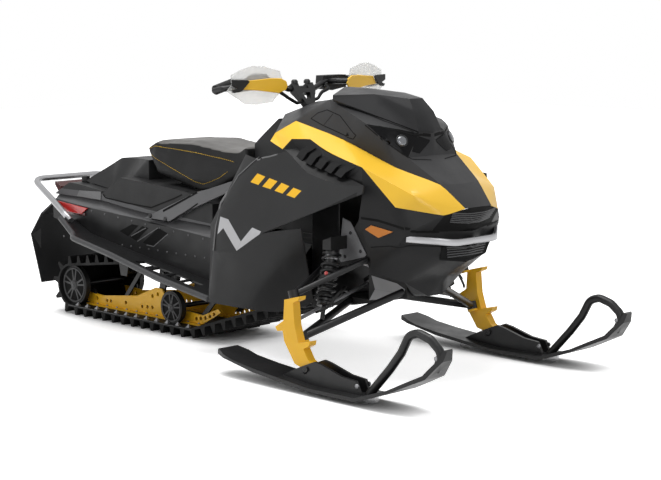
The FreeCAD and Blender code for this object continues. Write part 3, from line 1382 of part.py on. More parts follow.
# Each ski turns with its spindle about a leaning kingpin.
KING_LOW_SHARE = (0.643, 0.175)
KING_HIGH_SHARE = (0.598, 0.320)
SPINDLE_SHARES = ((0.603, 0.308), (0.679, 0.328), (0.675, 0.314), (0.647, 0.302),
                  (0.655, 0.224), (0.675, 0.164), (0.731, 0.177), (0.727, 0.160),
                  (0.699, 0.145), (0.723, 0.109), (0.778, 0.078), (0.746, 0.067),
                  (0.683, 0.080), (0.655, 0.087), (0.602, 0.160), (0.594, 0.196),
                  (0.566, 0.192), (0.556, 0.206), (0.598, 0.233))
SKI_SHARES = ((0.268, 0.076), (0.285, 0.094), (0.376, 0.068), (0.486, 0.054), (0.771, 0.028),
              (1.000, 0.030), (1.147, 0.078), (1.284, 0.145), (1.336, 0.203), (1.348, 0.233),
              (1.3585, 0.230), (1.349, 0.196), (1.294, 0.133), (1.147, 0.066), (1.002, 0.016),
              (0.771, 0.016), (0.486, 0.040), (0.359, 0.062))
SKI_PLAN_SHARES = ((0.268, 0.020), (0.280, 0.045), (0.330, 0.062), (0.600, 0.070),
                   (0.900, 0.075), (1.120, 0.074), (1.220, 0.064), (1.300, 0.046),
                   (1.345, 0.026), (1.3585, 0.014))
KEEL_SHARES = ((0.560, 0.0), (0.560, 0.040), (0.771, 0.022), (1.002, 0.022), (1.040, 0.036),
               (1.040, 0.010), (1.020, 0.0))
SADDLE_SHARES = ((0.600, 0.040), (0.693, 0.083), (0.765, 0.112), (0.800, 0.106), (0.896, 0.080),
                 (0.964, 0.074), (0.990, 0.024), (0.771, 0.022))
SADDLE_BOLT_SHARE = (0.728, 0.080)
LOOP_OUT_SHARES = ((1.001, 0.030), (1.097, 0.132), (1.147, 0.193), (1.182, 0.257),
                   (1.224, 0.270), (1.276, 0.256), (1.330, 0.214), (1.300, 0.158))
for side, word in ((-1, "right"), (1, "left")):
    offset = "Sizes.ski_half_stance * %d" % side
    spindle = prism("Spindle", "XZ", [SPINDLE_SHARES], "Sizes.spindle_width", offset)
    profile = prism("SkiProfile", "XZ", [SKI_SHARES], "Sizes.ski_width", offset)
    plan = prism("SkiPlan", "XY", [[(x, y) for x, y in SKI_PLAN_SHARES]
                                   + [(x, -y) for x, y in reversed(SKI_PLAN_SHARES)]],
                 "Sizes.height_module", "0")
    bind(plan, Placement__Base__y=offset)
    ski = doc.addObject("Part::Common", "Ski")
    ski.Base = profile
    ski.Tool = plan
    loop_points_list = [V(x * VALUE["length_module"], side * VALUE["ski_half_stance"],
                          z * VALUE["height_module"]) for x, z in LOOP_OUT_SHARES]
    loop = fixed(tube_shape(loop_points_list, VALUE["loop_rod"], 3 * VALUE["loop_rod"]), "Loop")
    walls = [prism("Saddle", "XZ", [SADDLE_SHARES], "Sizes.ski_edge_width",
                   offset + " + (Sizes.spindle_width + Sizes.ski_edge_width) / 2 * %d" % place)
             for place in (-1, 1)]
    bolt = doc.addObject("Part::Cylinder", "SaddleBolt")
    bind(bolt, Radius="Sizes.bolt_radius",
         Height="Sizes.spindle_width + Sizes.ski_edge_width * 2 + Sizes.bolt_head * 2")
    bolt.Placement.Rotation = FreeCAD.Rotation(V(1, 0, 0), 90)
    bind(bolt, Placement__Base__x=long(SADDLE_BOLT_SHARE[0]),
         Placement__Base__y=offset + " + Sizes.spindle_width / 2 + Sizes.ski_edge_width"
                                     " + Sizes.bolt_head",
         Placement__Base__z=tall(SADDLE_BOLT_SHARE[1]))
    joined = doc.addObject("Part::MultiFuse", "SkiWithLoop")
    joined.Shapes = [ski, loop] + walls + [bolt]
    low = outboard(KING_LOW_SHARE[0], 0, KING_LOW_SHARE[1], side)
    high = outboard(KING_HIGH_SHARE[0], 0, KING_HIGH_SHARE[1], side)
    clear = VALUE["housing_height"] / 2 + VALUE["seat_gap"]
    lug = VALUE["lug_thickness"]
    lugs = [collar(spot - king_way * (clear + lug / 2), king_way, VALUE["lug_radius"], lug)
            for spot in (low, high)]
    pin = V(0.561 * VALUE["length_module"], side * VALUE["ski_half_stance"],
            0.203 * VALUE["height_module"])
    pin.y -= side * (VALUE["spindle_width"] / 2 + VALUE["ball_radius"] + VALUE["seat_gap"])
    rod_end = collar(pin, king_way, VALUE["ball_radius"], VALUE["rod_end_height"])
    under = VALUE["rod_end_height"] / 2 + VALUE["seat_gap"]
    lugs.append(collar(pin - king_way * (under + lug / 2), king_way,
                       VALUE["ball_radius"] * 1.3, lug))
    stud = Part.makeCylinder(VALUE["stud_radius"], 2 * under + VALUE["seat_gap"],
                             pin - king_way * under, king_way)
    fork = doc.addObject("Part::MultiFuse", "SpindleWhole")
    fork.Shapes = [spindle, fixed(stud, "RodStud")] + [fixed(item, "Lug") for item in lugs]
    drilled = doc.addObject("Part::Cut", "SpindleDrilled")
    drilled.Base = fork
    drilled.Tool = joined
    group("spindle_" + word, [drilled])
    group("ski_" + word, [joined])
    blank = prism("Keel", "XZ", [KEEL_SHARES], "Sizes.runner_radius * 2", offset)
    keel = doc.addObject("Part::Cut", "KeelBar")
    keel.Base = blank
    keel.Tool = joined
    group("ski_runner_" + word, [keel])
    inner = (pitman_tip + V(0, side * VALUE["pitman_half_gauge"], 0)
             - post_way * (VALUE["rod_end_height"] / 2 + VALUE["pitman_gap"]))
    rod_with_ends = rod_shape(pin, inner, VALUE["tie_rod_radius"]).fuse(rod_end).fuse(
        collar(inner, post_way, VALUE["ball_radius"], VALUE["rod_end_height"]))
    rod_with_ends = rod_with_ends.cut(Part.makeCylinder(
        VALUE["stud_radius"] + VALUE["seat_gap"], 4 * under, pin - king_way * (2 * under),
        king_way))
    group("tie_rod_" + word, [fixed(rod_with_ends, "TieRod")])

doc.recompute()
for item in doc.Objects:
    if "Invalid" in item.State or "Error" in item.State:
        raise RuntimeError("not computed: " + item.Name)
for label, item in NODES:
    if item.Shape.isNull() or not item.Shape.isValid():
        raise RuntimeError("bad shape: " + label)
os.makedirs("parts", exist_ok=True)
for label, item in NODES:
    item.Shape.exportStep("parts/%s.step" % label)
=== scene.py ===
import json
import math

import bmesh
import bpy
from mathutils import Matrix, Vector
from mathutils.bvhtree import BVHTree


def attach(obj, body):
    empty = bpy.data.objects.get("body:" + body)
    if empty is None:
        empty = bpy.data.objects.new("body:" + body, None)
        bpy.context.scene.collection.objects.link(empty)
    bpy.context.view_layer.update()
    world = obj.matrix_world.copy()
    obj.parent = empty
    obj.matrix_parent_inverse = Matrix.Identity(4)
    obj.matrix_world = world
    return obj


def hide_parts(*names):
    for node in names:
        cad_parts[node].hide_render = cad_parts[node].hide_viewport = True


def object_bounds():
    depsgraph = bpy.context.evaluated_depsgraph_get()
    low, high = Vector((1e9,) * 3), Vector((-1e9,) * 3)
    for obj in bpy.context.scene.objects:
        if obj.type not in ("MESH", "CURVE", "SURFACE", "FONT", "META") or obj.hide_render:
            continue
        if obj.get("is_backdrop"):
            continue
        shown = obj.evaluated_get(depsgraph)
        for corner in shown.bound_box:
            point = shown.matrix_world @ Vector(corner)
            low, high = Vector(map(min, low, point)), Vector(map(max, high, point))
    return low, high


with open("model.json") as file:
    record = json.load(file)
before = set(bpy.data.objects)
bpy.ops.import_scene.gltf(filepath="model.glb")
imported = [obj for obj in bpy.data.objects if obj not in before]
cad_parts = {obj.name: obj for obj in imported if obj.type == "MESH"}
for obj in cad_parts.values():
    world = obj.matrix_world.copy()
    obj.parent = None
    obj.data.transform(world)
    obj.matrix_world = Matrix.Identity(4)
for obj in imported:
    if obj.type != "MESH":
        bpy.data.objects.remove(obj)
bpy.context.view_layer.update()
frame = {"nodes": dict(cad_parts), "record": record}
NODES = frame["nodes"]
BODY_OF = {node: body for body, nodes in frame["record"]["behaviour"]["bodies"].items()
           for node in nodes}
SCENE = bpy.context.scene
SIDES = ((-1, "right"), (1, "left"))


def add(name, data):
    """A new object in the scene."""
    item = bpy.data.objects.new(name, data)
    SCENE.collection.objects.link(item)
    return item


# The camera, as it was fitted to the photograph: its focal length is in the photo's pixels.
PHOTO_WIDTH = 661
FOCAL_PIXELS = 1723.53
SENSOR_WIDTH = 36
CAMERA_PLACE = (4.934, -4.586, 1.3205)
CAMERA_DOWN = 0.13400225
CAMERA_HEADING = 0.78807769
lens_data = bpy.data.cameras.new("Camera")
camera = add("Camera", lens_data)
camera.location = CAMERA_PLACE
camera.rotation_euler = (math.pi / 2 - CAMERA_DOWN, 0, CAMERA_HEADING)
lens_data.sensor_width = SENSOR_WIDTH
lens_data.lens = SENSOR_WIDTH * FOCAL_PIXELS / PHOTO_WIDTH
SCENE.camera = camera


# Materials. Each takes its colour, its grain and its gloss from nodes in object space.
def material(name):
    """An empty node material and its principled shader."""
    made = bpy.data.materials.new(name)
    made.use_nodes = True
    tree = made.node_tree
    shader = tree.nodes["Principled BSDF"]
    return made, tree, shader


def fix(node, **values):
    """Fixed values for inputs of a node, whose names have underscores here for spaces."""
    for name, value in values.items():
        node.inputs[name.replace("_", " ")].default_value = value


def noise(tree, scale, detail, rough=0.5):
    """A noise over the object's own space."""
    place = tree.nodes.new("ShaderNodeTexCoord")
    made = tree.nodes.new("ShaderNodeTexNoise")
    fix(made, Scale=scale, Detail=detail, Roughness=rough)
    tree.links.new(place.outputs["Object"], made.inputs["Vector"])
    return made


def ramp(tree, source, low, high, first=0.35, last=0.65):
    """A colour ramp between two colours, or two greys, over a source value."""
    made = tree.nodes.new("ShaderNodeValToRGB")
    made.color_ramp.elements[0].position = first
    made.color_ramp.elements[1].position = last
    made.color_ramp.elements[0].color = low if len(low) == 4 else (*low, 1)
    made.color_ramp.elements[1].color = high if len(high) == 4 else (*high, 1)
    tree.links.new(source, made.inputs["Fac"])
    return made


def grey(level):
    """A grey as a colour with full cover."""
    return (level, level, level, 1)


def math_node(tree, operation, one, two=None, clamp=False):
    """One sum of two sockets or numbers."""
    made = tree.nodes.new("ShaderNodeMath")
    made.operation = operation
    made.use_clamp = clamp
    for index, value in enumerate((one, two)):
        if value is None:
            continue
        if isinstance(value, (int, float)):
            made.inputs[index].default_value = value
        else:
            tree.links.new(value, made.inputs[index])
    return made.outputs[0]


def axes(tree):
    """The three coordinates in the object's own space."""
    place = tree.nodes.new("ShaderNodeTexCoord")
    split = tree.nodes.new("ShaderNodeSeparateXYZ")
    tree.links.new(place.outputs["Object"], split.inputs[0])
    return split.outputs[0], split.outputs[1], split.outputs[2]


def mix_colours(tree, share, below, above):
    """One colour socket from two, by a share."""
    blend = tree.nodes.new("ShaderNodeMix")
    blend.data_type = "RGBA"
    tree.links.new(share, blend.inputs[0])
    tree.links.new(below, blend.inputs[6])
    if isinstance(above, tuple):
        blend.inputs[7].default_value = (*above, 1)
    else:
        tree.links.new(above, blend.inputs[7])
    return blend.outputs[2]


PAINT_EDGE = 0.0012


def inside(tree, corners):
    """One inside an outline that bulges everywhere, and nought outside, seen from the side."""
    across, _, up = axes(tree)
    middle = (sum(c[0] for c in corners) / len(corners), sum(c[1] for c in corners) / len(corners))
    result = None
    for begin, end in zip(corners, corners[1:] + corners[:1]):
        normal = Vector((begin[1] - end[1], end[0] - begin[0]))
        normal.normalize()
        offset = -(normal[0] * begin[0] + normal[1] * begin[1])
        if normal[0] * middle[0] + normal[1] * middle[1] + offset < 0:
            normal, offset = -normal, -offset
        first = math_node(tree, "MULTIPLY", across, normal[0] / PAINT_EDGE)
        second = math_node(tree, "MULTIPLY", up, normal[1] / PAINT_EDGE)
        reach = math_node(tree, "ADD", first, second)
        reach = math_node(tree, "ADD", reach, offset / PAINT_EDGE + 0.5, clamp=True)
        result = reach if result is None else math_node(tree, "MINIMUM", result, reach)
    return result


def painted(made, outlines, colour):
    """Paint outlines, each a run of (x, z), over the colour that a material already has."""
    tree = made.node_tree
    shader = tree.nodes["Principled BSDF"]
    before = shader.inputs["Base Color"].links[0].from_socket
    mask = None
    for corners in outlines:
        one = inside(tree, list(corners))
        mask = one if mask is None else math_node(tree, "MAXIMUM", mask, one)
    tree.links.new(mix_colours(tree, mask, before, colour), shader.inputs["Base Color"])


BUMP_DEPTH = 0.0006


def grain_on(tree, shader, grain, depth):
    """A fine raised grain."""
    fine = noise(tree, grain, 2.0, 0.6)
    bump = tree.nodes.new("ShaderNodeBump")
    fix(bump, Strength=depth, Distance=BUMP_DEPTH)
    tree.links.new(fine.outputs["Fac"], bump.inputs["Height"])
    tree.links.new(bump.outputs["Normal"], shader.inputs["Normal"])


def gloss_on(tree, shader, scale, low, high):
    """A roughness that wanders between two levels."""
    patch = noise(tree, scale, 5.0, 0.6)
    gloss = ramp(tree, patch.outputs["Fac"], grey(low), grey(high))
    tree.links.new(gloss.outputs["Color"], shader.inputs["Roughness"])


def moulded(name, colour, rough, grain, depth, spread, rough_spread,
            coat=0.0, metallic=0.0, specular=0.5):
    """A surface with broad colour drift, uneven gloss and a fine raised grain."""
    made, tree, shader = material(name)
    broad = 5.0
    wide = noise(tree, broad, 3.0)
    low = tuple(c * (1 - spread) for c in colour)
    high = tuple(c * (1 + spread) for c in colour)
    tint = ramp(tree, wide.outputs["Fac"], low, high)
    tree.links.new(tint.outputs["Color"], shader.inputs["Base Color"])
    gloss_on(tree, shader, broad * 3.1, rough - rough_spread, rough + rough_spread)
    if depth:
        grain_on(tree, shader, grain, depth)
    fix(shader, Metallic=metallic, Coat_Weight=coat, Coat_Roughness=0.08,
        Specular_IOR_Level=specular)
    return made


DECK, BLACK = (moulded(name, (0.012, 0.012, 0.0125), 0.48, 700, 0.10, 0.10, 0.05, specular=0.22)
               for name in ("Deck_Plastic", "Black_Plastic"))
CHARCOAL = moulded("Charcoal_Plastic", (0.027, 0.027, 0.028), 0.42, 700, 0.08, 0.08, 0.05,
                   specular=0.17)
BELLY = moulded("Belly_Plastic", (0.015, 0.015, 0.0155), 0.42, 700, 0.08, 0.08, 0.05,
                specular=0.13)
SIDE_GREY = moulded("Side_Grey_Plastic", (0.017, 0.017, 0.0175), 0.42, 700, 0.08, 0.06, 0.05,
                    specular=0.16)
SIDE_PAINTED = moulded("Side_Panel_Plastic", (0.021, 0.021, 0.0215), 0.44, 700, 0.08, 0.06, 0.05,
                       specular=0.14)
LOUVER_GREY = moulded("Vent_Plastic", (0.008, 0.008, 0.0083), 0.45, 600, 0.12, 0.10, 0.05,
                      specular=0.14)
YELLOW = moulded("Yellow_Gloss", (0.77, 0.460, 0.032), 0.36, 300, 0.015, 0.02, 0.04, coat=0.15,
                 specular=0.35)
YELLOW_METAL = moulded("Yellow_Metal", (0.80, 0.44, 0.016), 0.38, 500, 0.05, 0.06, 0.05,
                       coat=0.1, specular=0.3)
BLACK_METAL = moulded("Black_Metal", (0.008, 0.008, 0.0085), 0.36, 600, 0.05, 0.10, 0.06,
                      specular=0.28)
TUNNEL_METAL = moulded("Tunnel_Metal", (0.009, 0.009, 0.0095), 0.40, 500, 0.04, 0.08, 0.06,
                       specular=0.26)
TUBE_GREY = moulded("Tube_Grey", (0.040, 0.040, 0.042), 0.42, 500, 0.04, 0.08, 0.06, specular=0.3)
HOUSING = moulded("Cast_Housing", (0.010, 0.010, 0.010), 0.50, 300, 0.12, 0.10, 0.08,
                  specular=0.25)
TOWER_GREY = moulded("Tower_Grey", (0.15, 0.15, 0.155), 0.45, 300, 0.10, 0.08, 0.08,
                     metallic=0.2)
GREY_METAL = moulded("Grey_Metal", (0.070, 0.070, 0.073), 0.42, 500, 0.04, 0.08, 0.06,
                     metallic=0.2)
SILVER = moulded("Silver_Tube", (0.36, 0.36, 0.37), 0.32, 400, 0.02, 0.06, 0.05, metallic=0.85)
CAST = moulded("Cast_Alloy", (0.26, 0.26, 0.27), 0.46, 300, 0.12, 0.08, 0.08, metallic=0.6)
STEEL = moulded("Bright_Steel", (0.55, 0.55, 0.56), 0.24, 400, 0.04, 0.06, 0.06, metallic=1.0)
RUBBER = moulded("Track_Rubber", (0.0055, 0.0055, 0.0055), 0.66, 350, 0.25, 0.15, 0.08,
                 specular=0.18)
GRIP = moulded("Grip_Rubber", (0.008, 0.008, 0.008), 0.60, 450, 0.30, 0.10, 0.06, specular=0.2)
WHEEL = moulded("Wheel_Plastic", (0.010, 0.010, 0.010), 0.46, 500, 0.08, 0.12, 0.06,
                specular=0.25)
SKI = moulded("Ski_Plastic", (0.010, 0.010, 0.0105), 0.38, 500, 0.06, 0.12, 0.06, specular=0.28)
SCREEN_LOOK = moulded("Dark_Screen", (0.021, 0.021, 0.022), 0.40, 700, 0.04, 0.06, 0.04,
                      specular=0.10)
RED = moulded("Red_Lens", (0.50, 0.025, 0.022), 0.16, 60, 0.0, 0.10, 0.03, coat=0.6)
SMOKED_RED = moulded("Smoked_Red_Lens", (0.050, 0.004, 0.004), 0.20, 60, 0.0, 0.10, 0.03, coat=0.4)
AMBER = moulded("Amber_Lens", (0.52, 0.165, 0.008), 0.30, 60, 0.0, 0.10, 0.03, coat=0.1,
                specular=0.3)
WHEEL_FACE = moulded("Wheel_Face", (0.045, 0.045, 0.046), 0.42, 500, 0.08, 0.10, 0.06,
                     specular=0.28)
# A near-black for painted shade in gaps, recesses, creases and behind parts.
SEAM_SHADE = moulded("Seam_Shadow", (0.004, 0.004, 0.004), 0.7, 600, 0.05, 0.10, 0.05, specular=0.1)
# A pale grey for painted highlights along edges, and also for the deck's latch plates.
PALE_TRIM_AND_HIGHLIGHT = moulded("Pale_Trim_And_Highlight", (0.12, 0.12, 0.122), 0.42, 700, 0.06, 0.06, 0.05, specular=0.3)
SLAT = moulded("Slat_Plastic", (0.062, 0.062, 0.064), 0.40, 700, 0.06, 0.06, 0.05, specular=0.3)
THREAD = moulded("Yellow_Thread", (0.50, 0.31, 0.02), 0.7, 900, 0.3, 0.10, 0.05, specular=0.2)


def clear(name, colour, rough, weight):
    """A see-through moulding."""
    made, tree, shader = material(name)
    haze = noise(tree, 40.0, 3.0)
    level = ramp(tree, haze.outputs["Fac"], grey(rough * 0.8), grey(min(1.0, rough * 1.3)))
    tree.links.new(level.outputs["Color"], shader.inputs["Roughness"])
    tone = ramp(tree, haze.outputs["Fac"], tuple(c * 0.96 for c in colour), colour)
    tree.links.new(tone.outputs["Color"], shader.inputs["Base Color"])
    fix(shader, Transmission_Weight=weight, IOR=1.3)
    return made


FROST = clear("Frosted_Shield", (0.82, 0.82, 0.81), 0.16, 0.72)
LAMP_BLACK = moulded("Lamp_Gloss", (0.003, 0.003, 0.0035), 0.24, 60, 0.0, 0.10, 0.02,
                     specular=0.10)
REFLECTOR = moulded("Lamp_Reflector", (0.15, 0.155, 0.165), 0.22, 120, 0.0, 0.25, 0.06,
                    metallic=0.7, coat=0.3)

# The look, the edge radius and the sharp angle of each CAD node that is shown by a smooth copy.
LOOK = {
    # The nose grilles take the seam shade colour: their openings are painted shade.
    "upper_cowl": (CHARCOAL, 0.002, 9), "nose_grilles": (SEAM_SHADE, 0.002, 20),
    "belly_pan": (BELLY, 0.002, 9), "side_louvers": (LOUVER_GREY, 0.003, 20),
    "lower_panels": (SIDE_GREY, 0.002, 9), "rear_deck": (DECK, 0.003, 20),
    "tank_cover": (BLACK, 0.003, 20), "snow_flap": (BLACK, 0.002, 40),
    "running_boards": (BLACK_METAL, 0.0015, 30), "side_panels": (SIDE_PAINTED, 0.003, 9),
    "shoulder_panels": (YELLOW, 0.003, 9), "hand_guards": (YELLOW, 0.003, 25),
    "slide_rails": (YELLOW_METAL, 0.0015, 35), "tunnel": (TUNNEL_METAL, 0.002, 30),
    "suspension_arms": (BLACK_METAL, 0.0, 40), "skid_arms": (BLACK_METAL, 0.0, 40),
    "steering_post": (BLACK_METAL, 0.002, 35), "handlebar": (BLACK_METAL, 0.0, 50),
    "engine_block": (BLACK_METAL, 0.004, 30), "shock_bodies": (BLACK_METAL, 0.0, 35),
    "guard_mounts": (BLACK_METAL, 0.0, 50), "bulkhead": (HOUSING, 0.002, 30),
    "board_tubes": (TUBE_GREY, 0.0, 50), "seat_struts": (GREY_METAL, 0.003, 30),
    "drive_axle": (STEEL, 0.0, 35), "track": (RUBBER, 0.0, 30), "grips": (GRIP, 0.003, 40),
    "idler_wheels": (WHEEL, 0.0015, 35), "windshield": (SCREEN_LOOK, 0.002, 12),
    "headlamps": (LAMP_BLACK, 0.001, 15),
    "guard_shields": (FROST, 0.001, 30), "tail_lenses": (SMOKED_RED, 0.001, 25),
    "side_reflectors": (AMBER, 0.001, 30), "cargo_anchors": (BLACK_METAL, 0.001, 35),
    "shock_springs": (BLACK_METAL, 0.0, 50), "hand_controls": (BLACK, 0.003, 30),
    "control_cables": (GRIP, 0.0, 60),
}
for _, word in SIDES:
    LOOK["spindle_" + word] = (YELLOW_METAL, 0.004, 25)
    LOOK["ski_" + word] = (SKI, 0.004, 25)
    LOOK["ski_runner_" + word] = (STEEL, 0.0, 40)
    LOOK["tie_rod_" + word] = (CAST, 0.0, 40)
SHOWN = {}

HULL = ("upper_cowl", "shoulder_panels", "side_panels", "lower_panels", "belly_pan", "windshield",
        "nose_grilles", "headlamps", "rear_deck", "tank_cover")

# Edges that turn less than ROUND_BELOW degrees are rounded, and above SHARP_ABOVE kept sharp.
ROUND_BELOW = 9
SHARP_ABOVE = 32
RIM_ANGLE = 40
FLAT_ANGLE = 0.5
WELD = 0.00003
NO_SIZE = 0.00002


def soften(form):
    """Crease each edge by its angle, so that subdivision rounds the shallow ones alone."""
    wide = [face for face in form.faces if len(face.verts) > 4]
    bmesh.ops.triangulate(form, faces=wide)
    crease = form.edges.layers.float.new("crease_edge")
    for line in form.edges:
        turn = 180 if len(line.link_faces) != 2 else math.degrees(line.calc_face_angle(0))
        line[crease] = min(1.0, max(0.0, (turn - ROUND_BELOW) / (SHARP_ABOVE - ROUND_BELOW)))


DECK_TAIL = (-0.70, 0.655, 0.52)
FLAP_WIDTHS = ((0.15, 0.82), (0.36, 1.045), (0.45, 0.765), (9.0, 0.85))


def reshape(name, form):
    """The deck's high tail is narrowed, and the flap takes its widths from the foot up."""
    for vertex in form.verts:
        spot = vertex.co
        if name == "rear_deck" and spot.x < DECK_TAIL[0] and spot.z > DECK_TAIL[1]:
            spot.y *= DECK_TAIL[2]
        if name == "snow_flap":
            spot.y *= next(share for height, share in FLAP_WIDTHS if spot.z < height)


SWELL = {"control_cables": 0.0030, "suspension_arms": 0.0022, "grips": 0.0015}


def refine(name, look, edge, angle):
    """A smooth copy of a CAD node, its real edges kept sharp or rounded, that stands for it."""
    form = bmesh.new()
    form.from_mesh(NODES[name].data)
    bmesh.ops.remove_doubles(form, verts=form.verts, dist=WELD)
    bmesh.ops.dissolve_degenerate(form, dist=NO_SIZE, edges=form.edges)
    bmesh.ops.dissolve_limit(form, angle_limit=math.radians(FLAT_ANGLE), verts=form.verts,
                             edges=form.edges)
    reshape(name, form)
    if name in HULL:
        soften(form)
        angle = RIM_ANGLE
    limit = math.radians(angle)
    for face in form.faces:
        face.smooth = True
    for line in form.edges:
        line.smooth = len(line.link_faces) == 2 and line.calc_face_angle(0) < limit
    data = bpy.data.meshes.new(name + "_Form")
    form.to_mesh(data)
    form.free()
    show(name, data, look, edge, angle)


def show(name, data, look, edge, angle):
    """Put a form on its body in place of a CAD node."""
    data.materials.clear()
    data.materials.append(look)
    item = add("shown_" + name, data)
    if name in HULL:
        rounds = item.modifiers.new("Rounds", "SUBSURF")
        rounds.levels = rounds.render_levels = 2
    if name in SWELL:
        swell = item.modifiers.new("Swell", "DISPLACE")
        swell.strength = SWELL[name]
        swell.mid_level = 0.0
    if edge:
        bevel = item.modifiers.new("Bevel", "BEVEL")
        bevel.width = edge
        bevel.segments = 3
        bevel.limit_method = "ANGLE"
        bevel.angle_limit = math.radians(angle)
        bevel.harden_normals = True
    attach(item, BODY_OF[name])
    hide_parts(name)
    SHOWN[name] = item


# The seat and the two bumpers are redrawn further on.
for node_name in sorted(LOOK):
    refine(node_name, *LOOK[node_name])

# The seat is stuffed: its cover swells over its own form before the stitches are laid.
VOXEL = 0.007
PRESSURE = 4.0
SWELL_CAP = 0.006
STEPS = 16


def cushion(name, look):
    """A padded cover over a CAD node, swollen a little from inside."""
    item = add("shown_" + name, NODES[name].data.copy())
    remesh = item.modifiers.new("Cover", "REMESH")
    remesh.mode = "VOXEL"
    remesh.voxel_size = VOXEL
    graph = bpy.context.evaluated_depsgraph_get()
    data = bpy.data.meshes.new_from_object(item.evaluated_get(graph))
    item.modifiers.clear()
    item.data = data
    rest = [vertex.co.copy() for vertex in data.vertices]
    base = item.vertex_groups.new(name="Base")
    base.add([v.index for v in data.vertices if v.normal.z < -0.5], 1.0, "REPLACE")
    stuffing = item.modifiers.new("Stuffing", "CLOTH")
    stuffing.settings.quality = 4
    stuffing.settings.mass = 0.3
    stuffing.settings.bending_stiffness = 2.0
    stuffing.settings.use_pressure = True
    stuffing.settings.uniform_pressure_force = PRESSURE
    stuffing.settings.vertex_group_mass = "Base"
    stuffing.settings.effector_weights.gravity = 0
    stuffing.collision_settings.use_collision = False
    for number in range(1, STEPS + 1):
        SCENE.frame_set(number)
    graph = bpy.context.evaluated_depsgraph_get()
    swollen = bpy.data.meshes.new_from_object(item.evaluated_get(graph))
    item.modifiers.clear()
    for vertex, before in zip(swollen.vertices, rest):
        move = vertex.co - before
        if move.length > SWELL_CAP:
            vertex.co = before + move * (SWELL_CAP / move.length)
    item.data = swollen
    SCENE.frame_set(1)
    item.data.materials.clear()
    item.data.materials.append(look)
    for face in item.data.polygons:
        face.use_smooth = True
    ease = item.modifiers.new("Ease", "SMOOTH")
    ease.factor = 0.5
    ease.iterations = 5
    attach(item, BODY_OF[name])
    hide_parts(name)
    SHOWN[name] = item


def seat_look():
    """Vinyl that is grey on the top panel and black down the sides."""
    made, tree, shader = material("Cushion_Vinyl")
    place = tree.nodes.new("ShaderNodeTexCoord")
    split = tree.nodes.new("ShaderNodeSeparateXYZ")
    tree.links.new(place.outputs["Normal"], split.inputs[0])
    wide = noise(tree, 6.0, 3.0)
    side = ramp(tree, wide.outputs["Fac"], (0.0050, 0.0050, 0.0052), (0.0070, 0.0070, 0.0072))
    top = ramp(tree, wide.outputs["Fac"], (0.105, 0.102, 0.098), (0.125, 0.121, 0.116))
    up = ramp(tree, split.outputs[2], grey(0), grey(1), 0.50, 0.62)
    colour = mix_colours(tree, up.outputs["Color"], side.outputs["Color"], top.outputs["Color"])
    tree.links.new(colour, shader.inputs["Base Color"])
    gloss_on(tree, shader, 14.0, 0.46, 0.58)
    grain_on(tree, shader, 420.0, 0.30)
    fix(shader, Specular_IOR_Level=0.18)
    return made


cushion("seat", seat_look())

# Everything below is laid on the shown forms, whose skins are read here.
bpy.context.view_layer.update()
GRAPH = bpy.context.evaluated_depsgraph_get()


def skin(*names):
    """The outer faces of shown pieces, to lay fittings on."""
    spots, faces = [], []
    for name in names:
        item = SHOWN[name].evaluated_get(GRAPH)
        data = item.to_mesh()
        start = len(spots)
        spots += [vertex.co.copy() for vertex in data.vertices]
        faces += [[start + index for index in face.vertices] for face in data.polygons]
        item.to_mesh_clear()
    return BVHTree.FromPolygons(spots, faces)


def place(name, spots, faces, look, slot_name, body="chassis", smooth=True):
    """A new piece from corners and faces, on its body."""
    data = bpy.data.meshes.new(name)
    data.from_pydata([tuple(spot) for spot in spots], [], faces)
    for face in data.polygons:
        face.use_smooth = smooth
    data.materials.append(look)
    item = add(name, data)
    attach(item, body)
    return item


def on_side(points, side):
    """Places written for the left side, carried to either side."""
    return [(x, side * y, z) for x, y, z in points]


def resample(points, step):
    """A run of places at even steps."""
    line = [Vector(points[0])]
    for begin, end in zip(points, points[1:]):
        begin, end = Vector(begin), Vector(end)
        count = max(1, int((end - begin).length / step))
        line += [begin.lerp(end, (index + 1) / count) for index in range(count)]
    return line


SNAP_REACH = 0.06
SHELL_DEPTH = 0.018
NEAR_SKIN = 0.012
HULL_HEART = (0.15, 0.60)


def snap(tree, spot, heart=None):
    """The place on a skin's outer face nearest to a spot, and its way out."""
    found, normal, _, gap = tree.find_nearest(Vector(spot))
    if found is None or gap > SNAP_REACH:
        return None
    middle = Vector(heart) if heart else Vector((found.x - HULL_HEART[0], 0, HULL_HEART[1]))
    if normal.dot(found - middle) < 0:
        normal = -normal
    outer, face_way, _, _ = tree.ray_cast(found + normal * SHELL_DEPTH, -normal,
                                          2 * SHELL_DEPTH)
    if outer is not None:
        found = outer
        normal = face_way if face_way.dot(normal) > 0 else -face_way
    return found, normal


def strip(name, tree, points, width, look, slot_name, rise=0.0007, crown=0.0, step=0.006,
          dash=None, heart=None):
    """A narrow band that lies on a skin: a dark seam of painted shade, a bead (on some edges a
    painted highlight) or a row of stitches.
    """
    line = []
    for spot in resample(points, step):
        met = snap(tree, spot, heart)
        if met:
            line.append(met)
    spots, faces = [], []
    travelled = 0.0
    for index, (spot, normal) in enumerate(line):
        before = line[max(0, index - 1)][0]
        after = line[min(len(line) - 1, index + 1)][0]
        across = (after - before).cross(normal).normalized()
        for share, lift in ((-0.5, 0), (0, crown), (0.5, 0)):
            guess = spot + across * (share * width)
            found = tree.ray_cast(guess + normal * NEAR_SKIN, -normal, 2 * NEAR_SKIN)[0] or guess
            spots.append(found + normal * (rise + lift))
        if index:
            travelled += (spot - line[index - 1][0]).length
            if not dash or travelled % (dash[0] + dash[1]) < dash[0]:
                low = 3 * index
                faces += [(low - 3, low - 2, low + 1, low), (low - 2, low - 1, low + 2, low + 1)]
    place(name, spots, faces, look, slot_name)


BEND_STEPS = 6


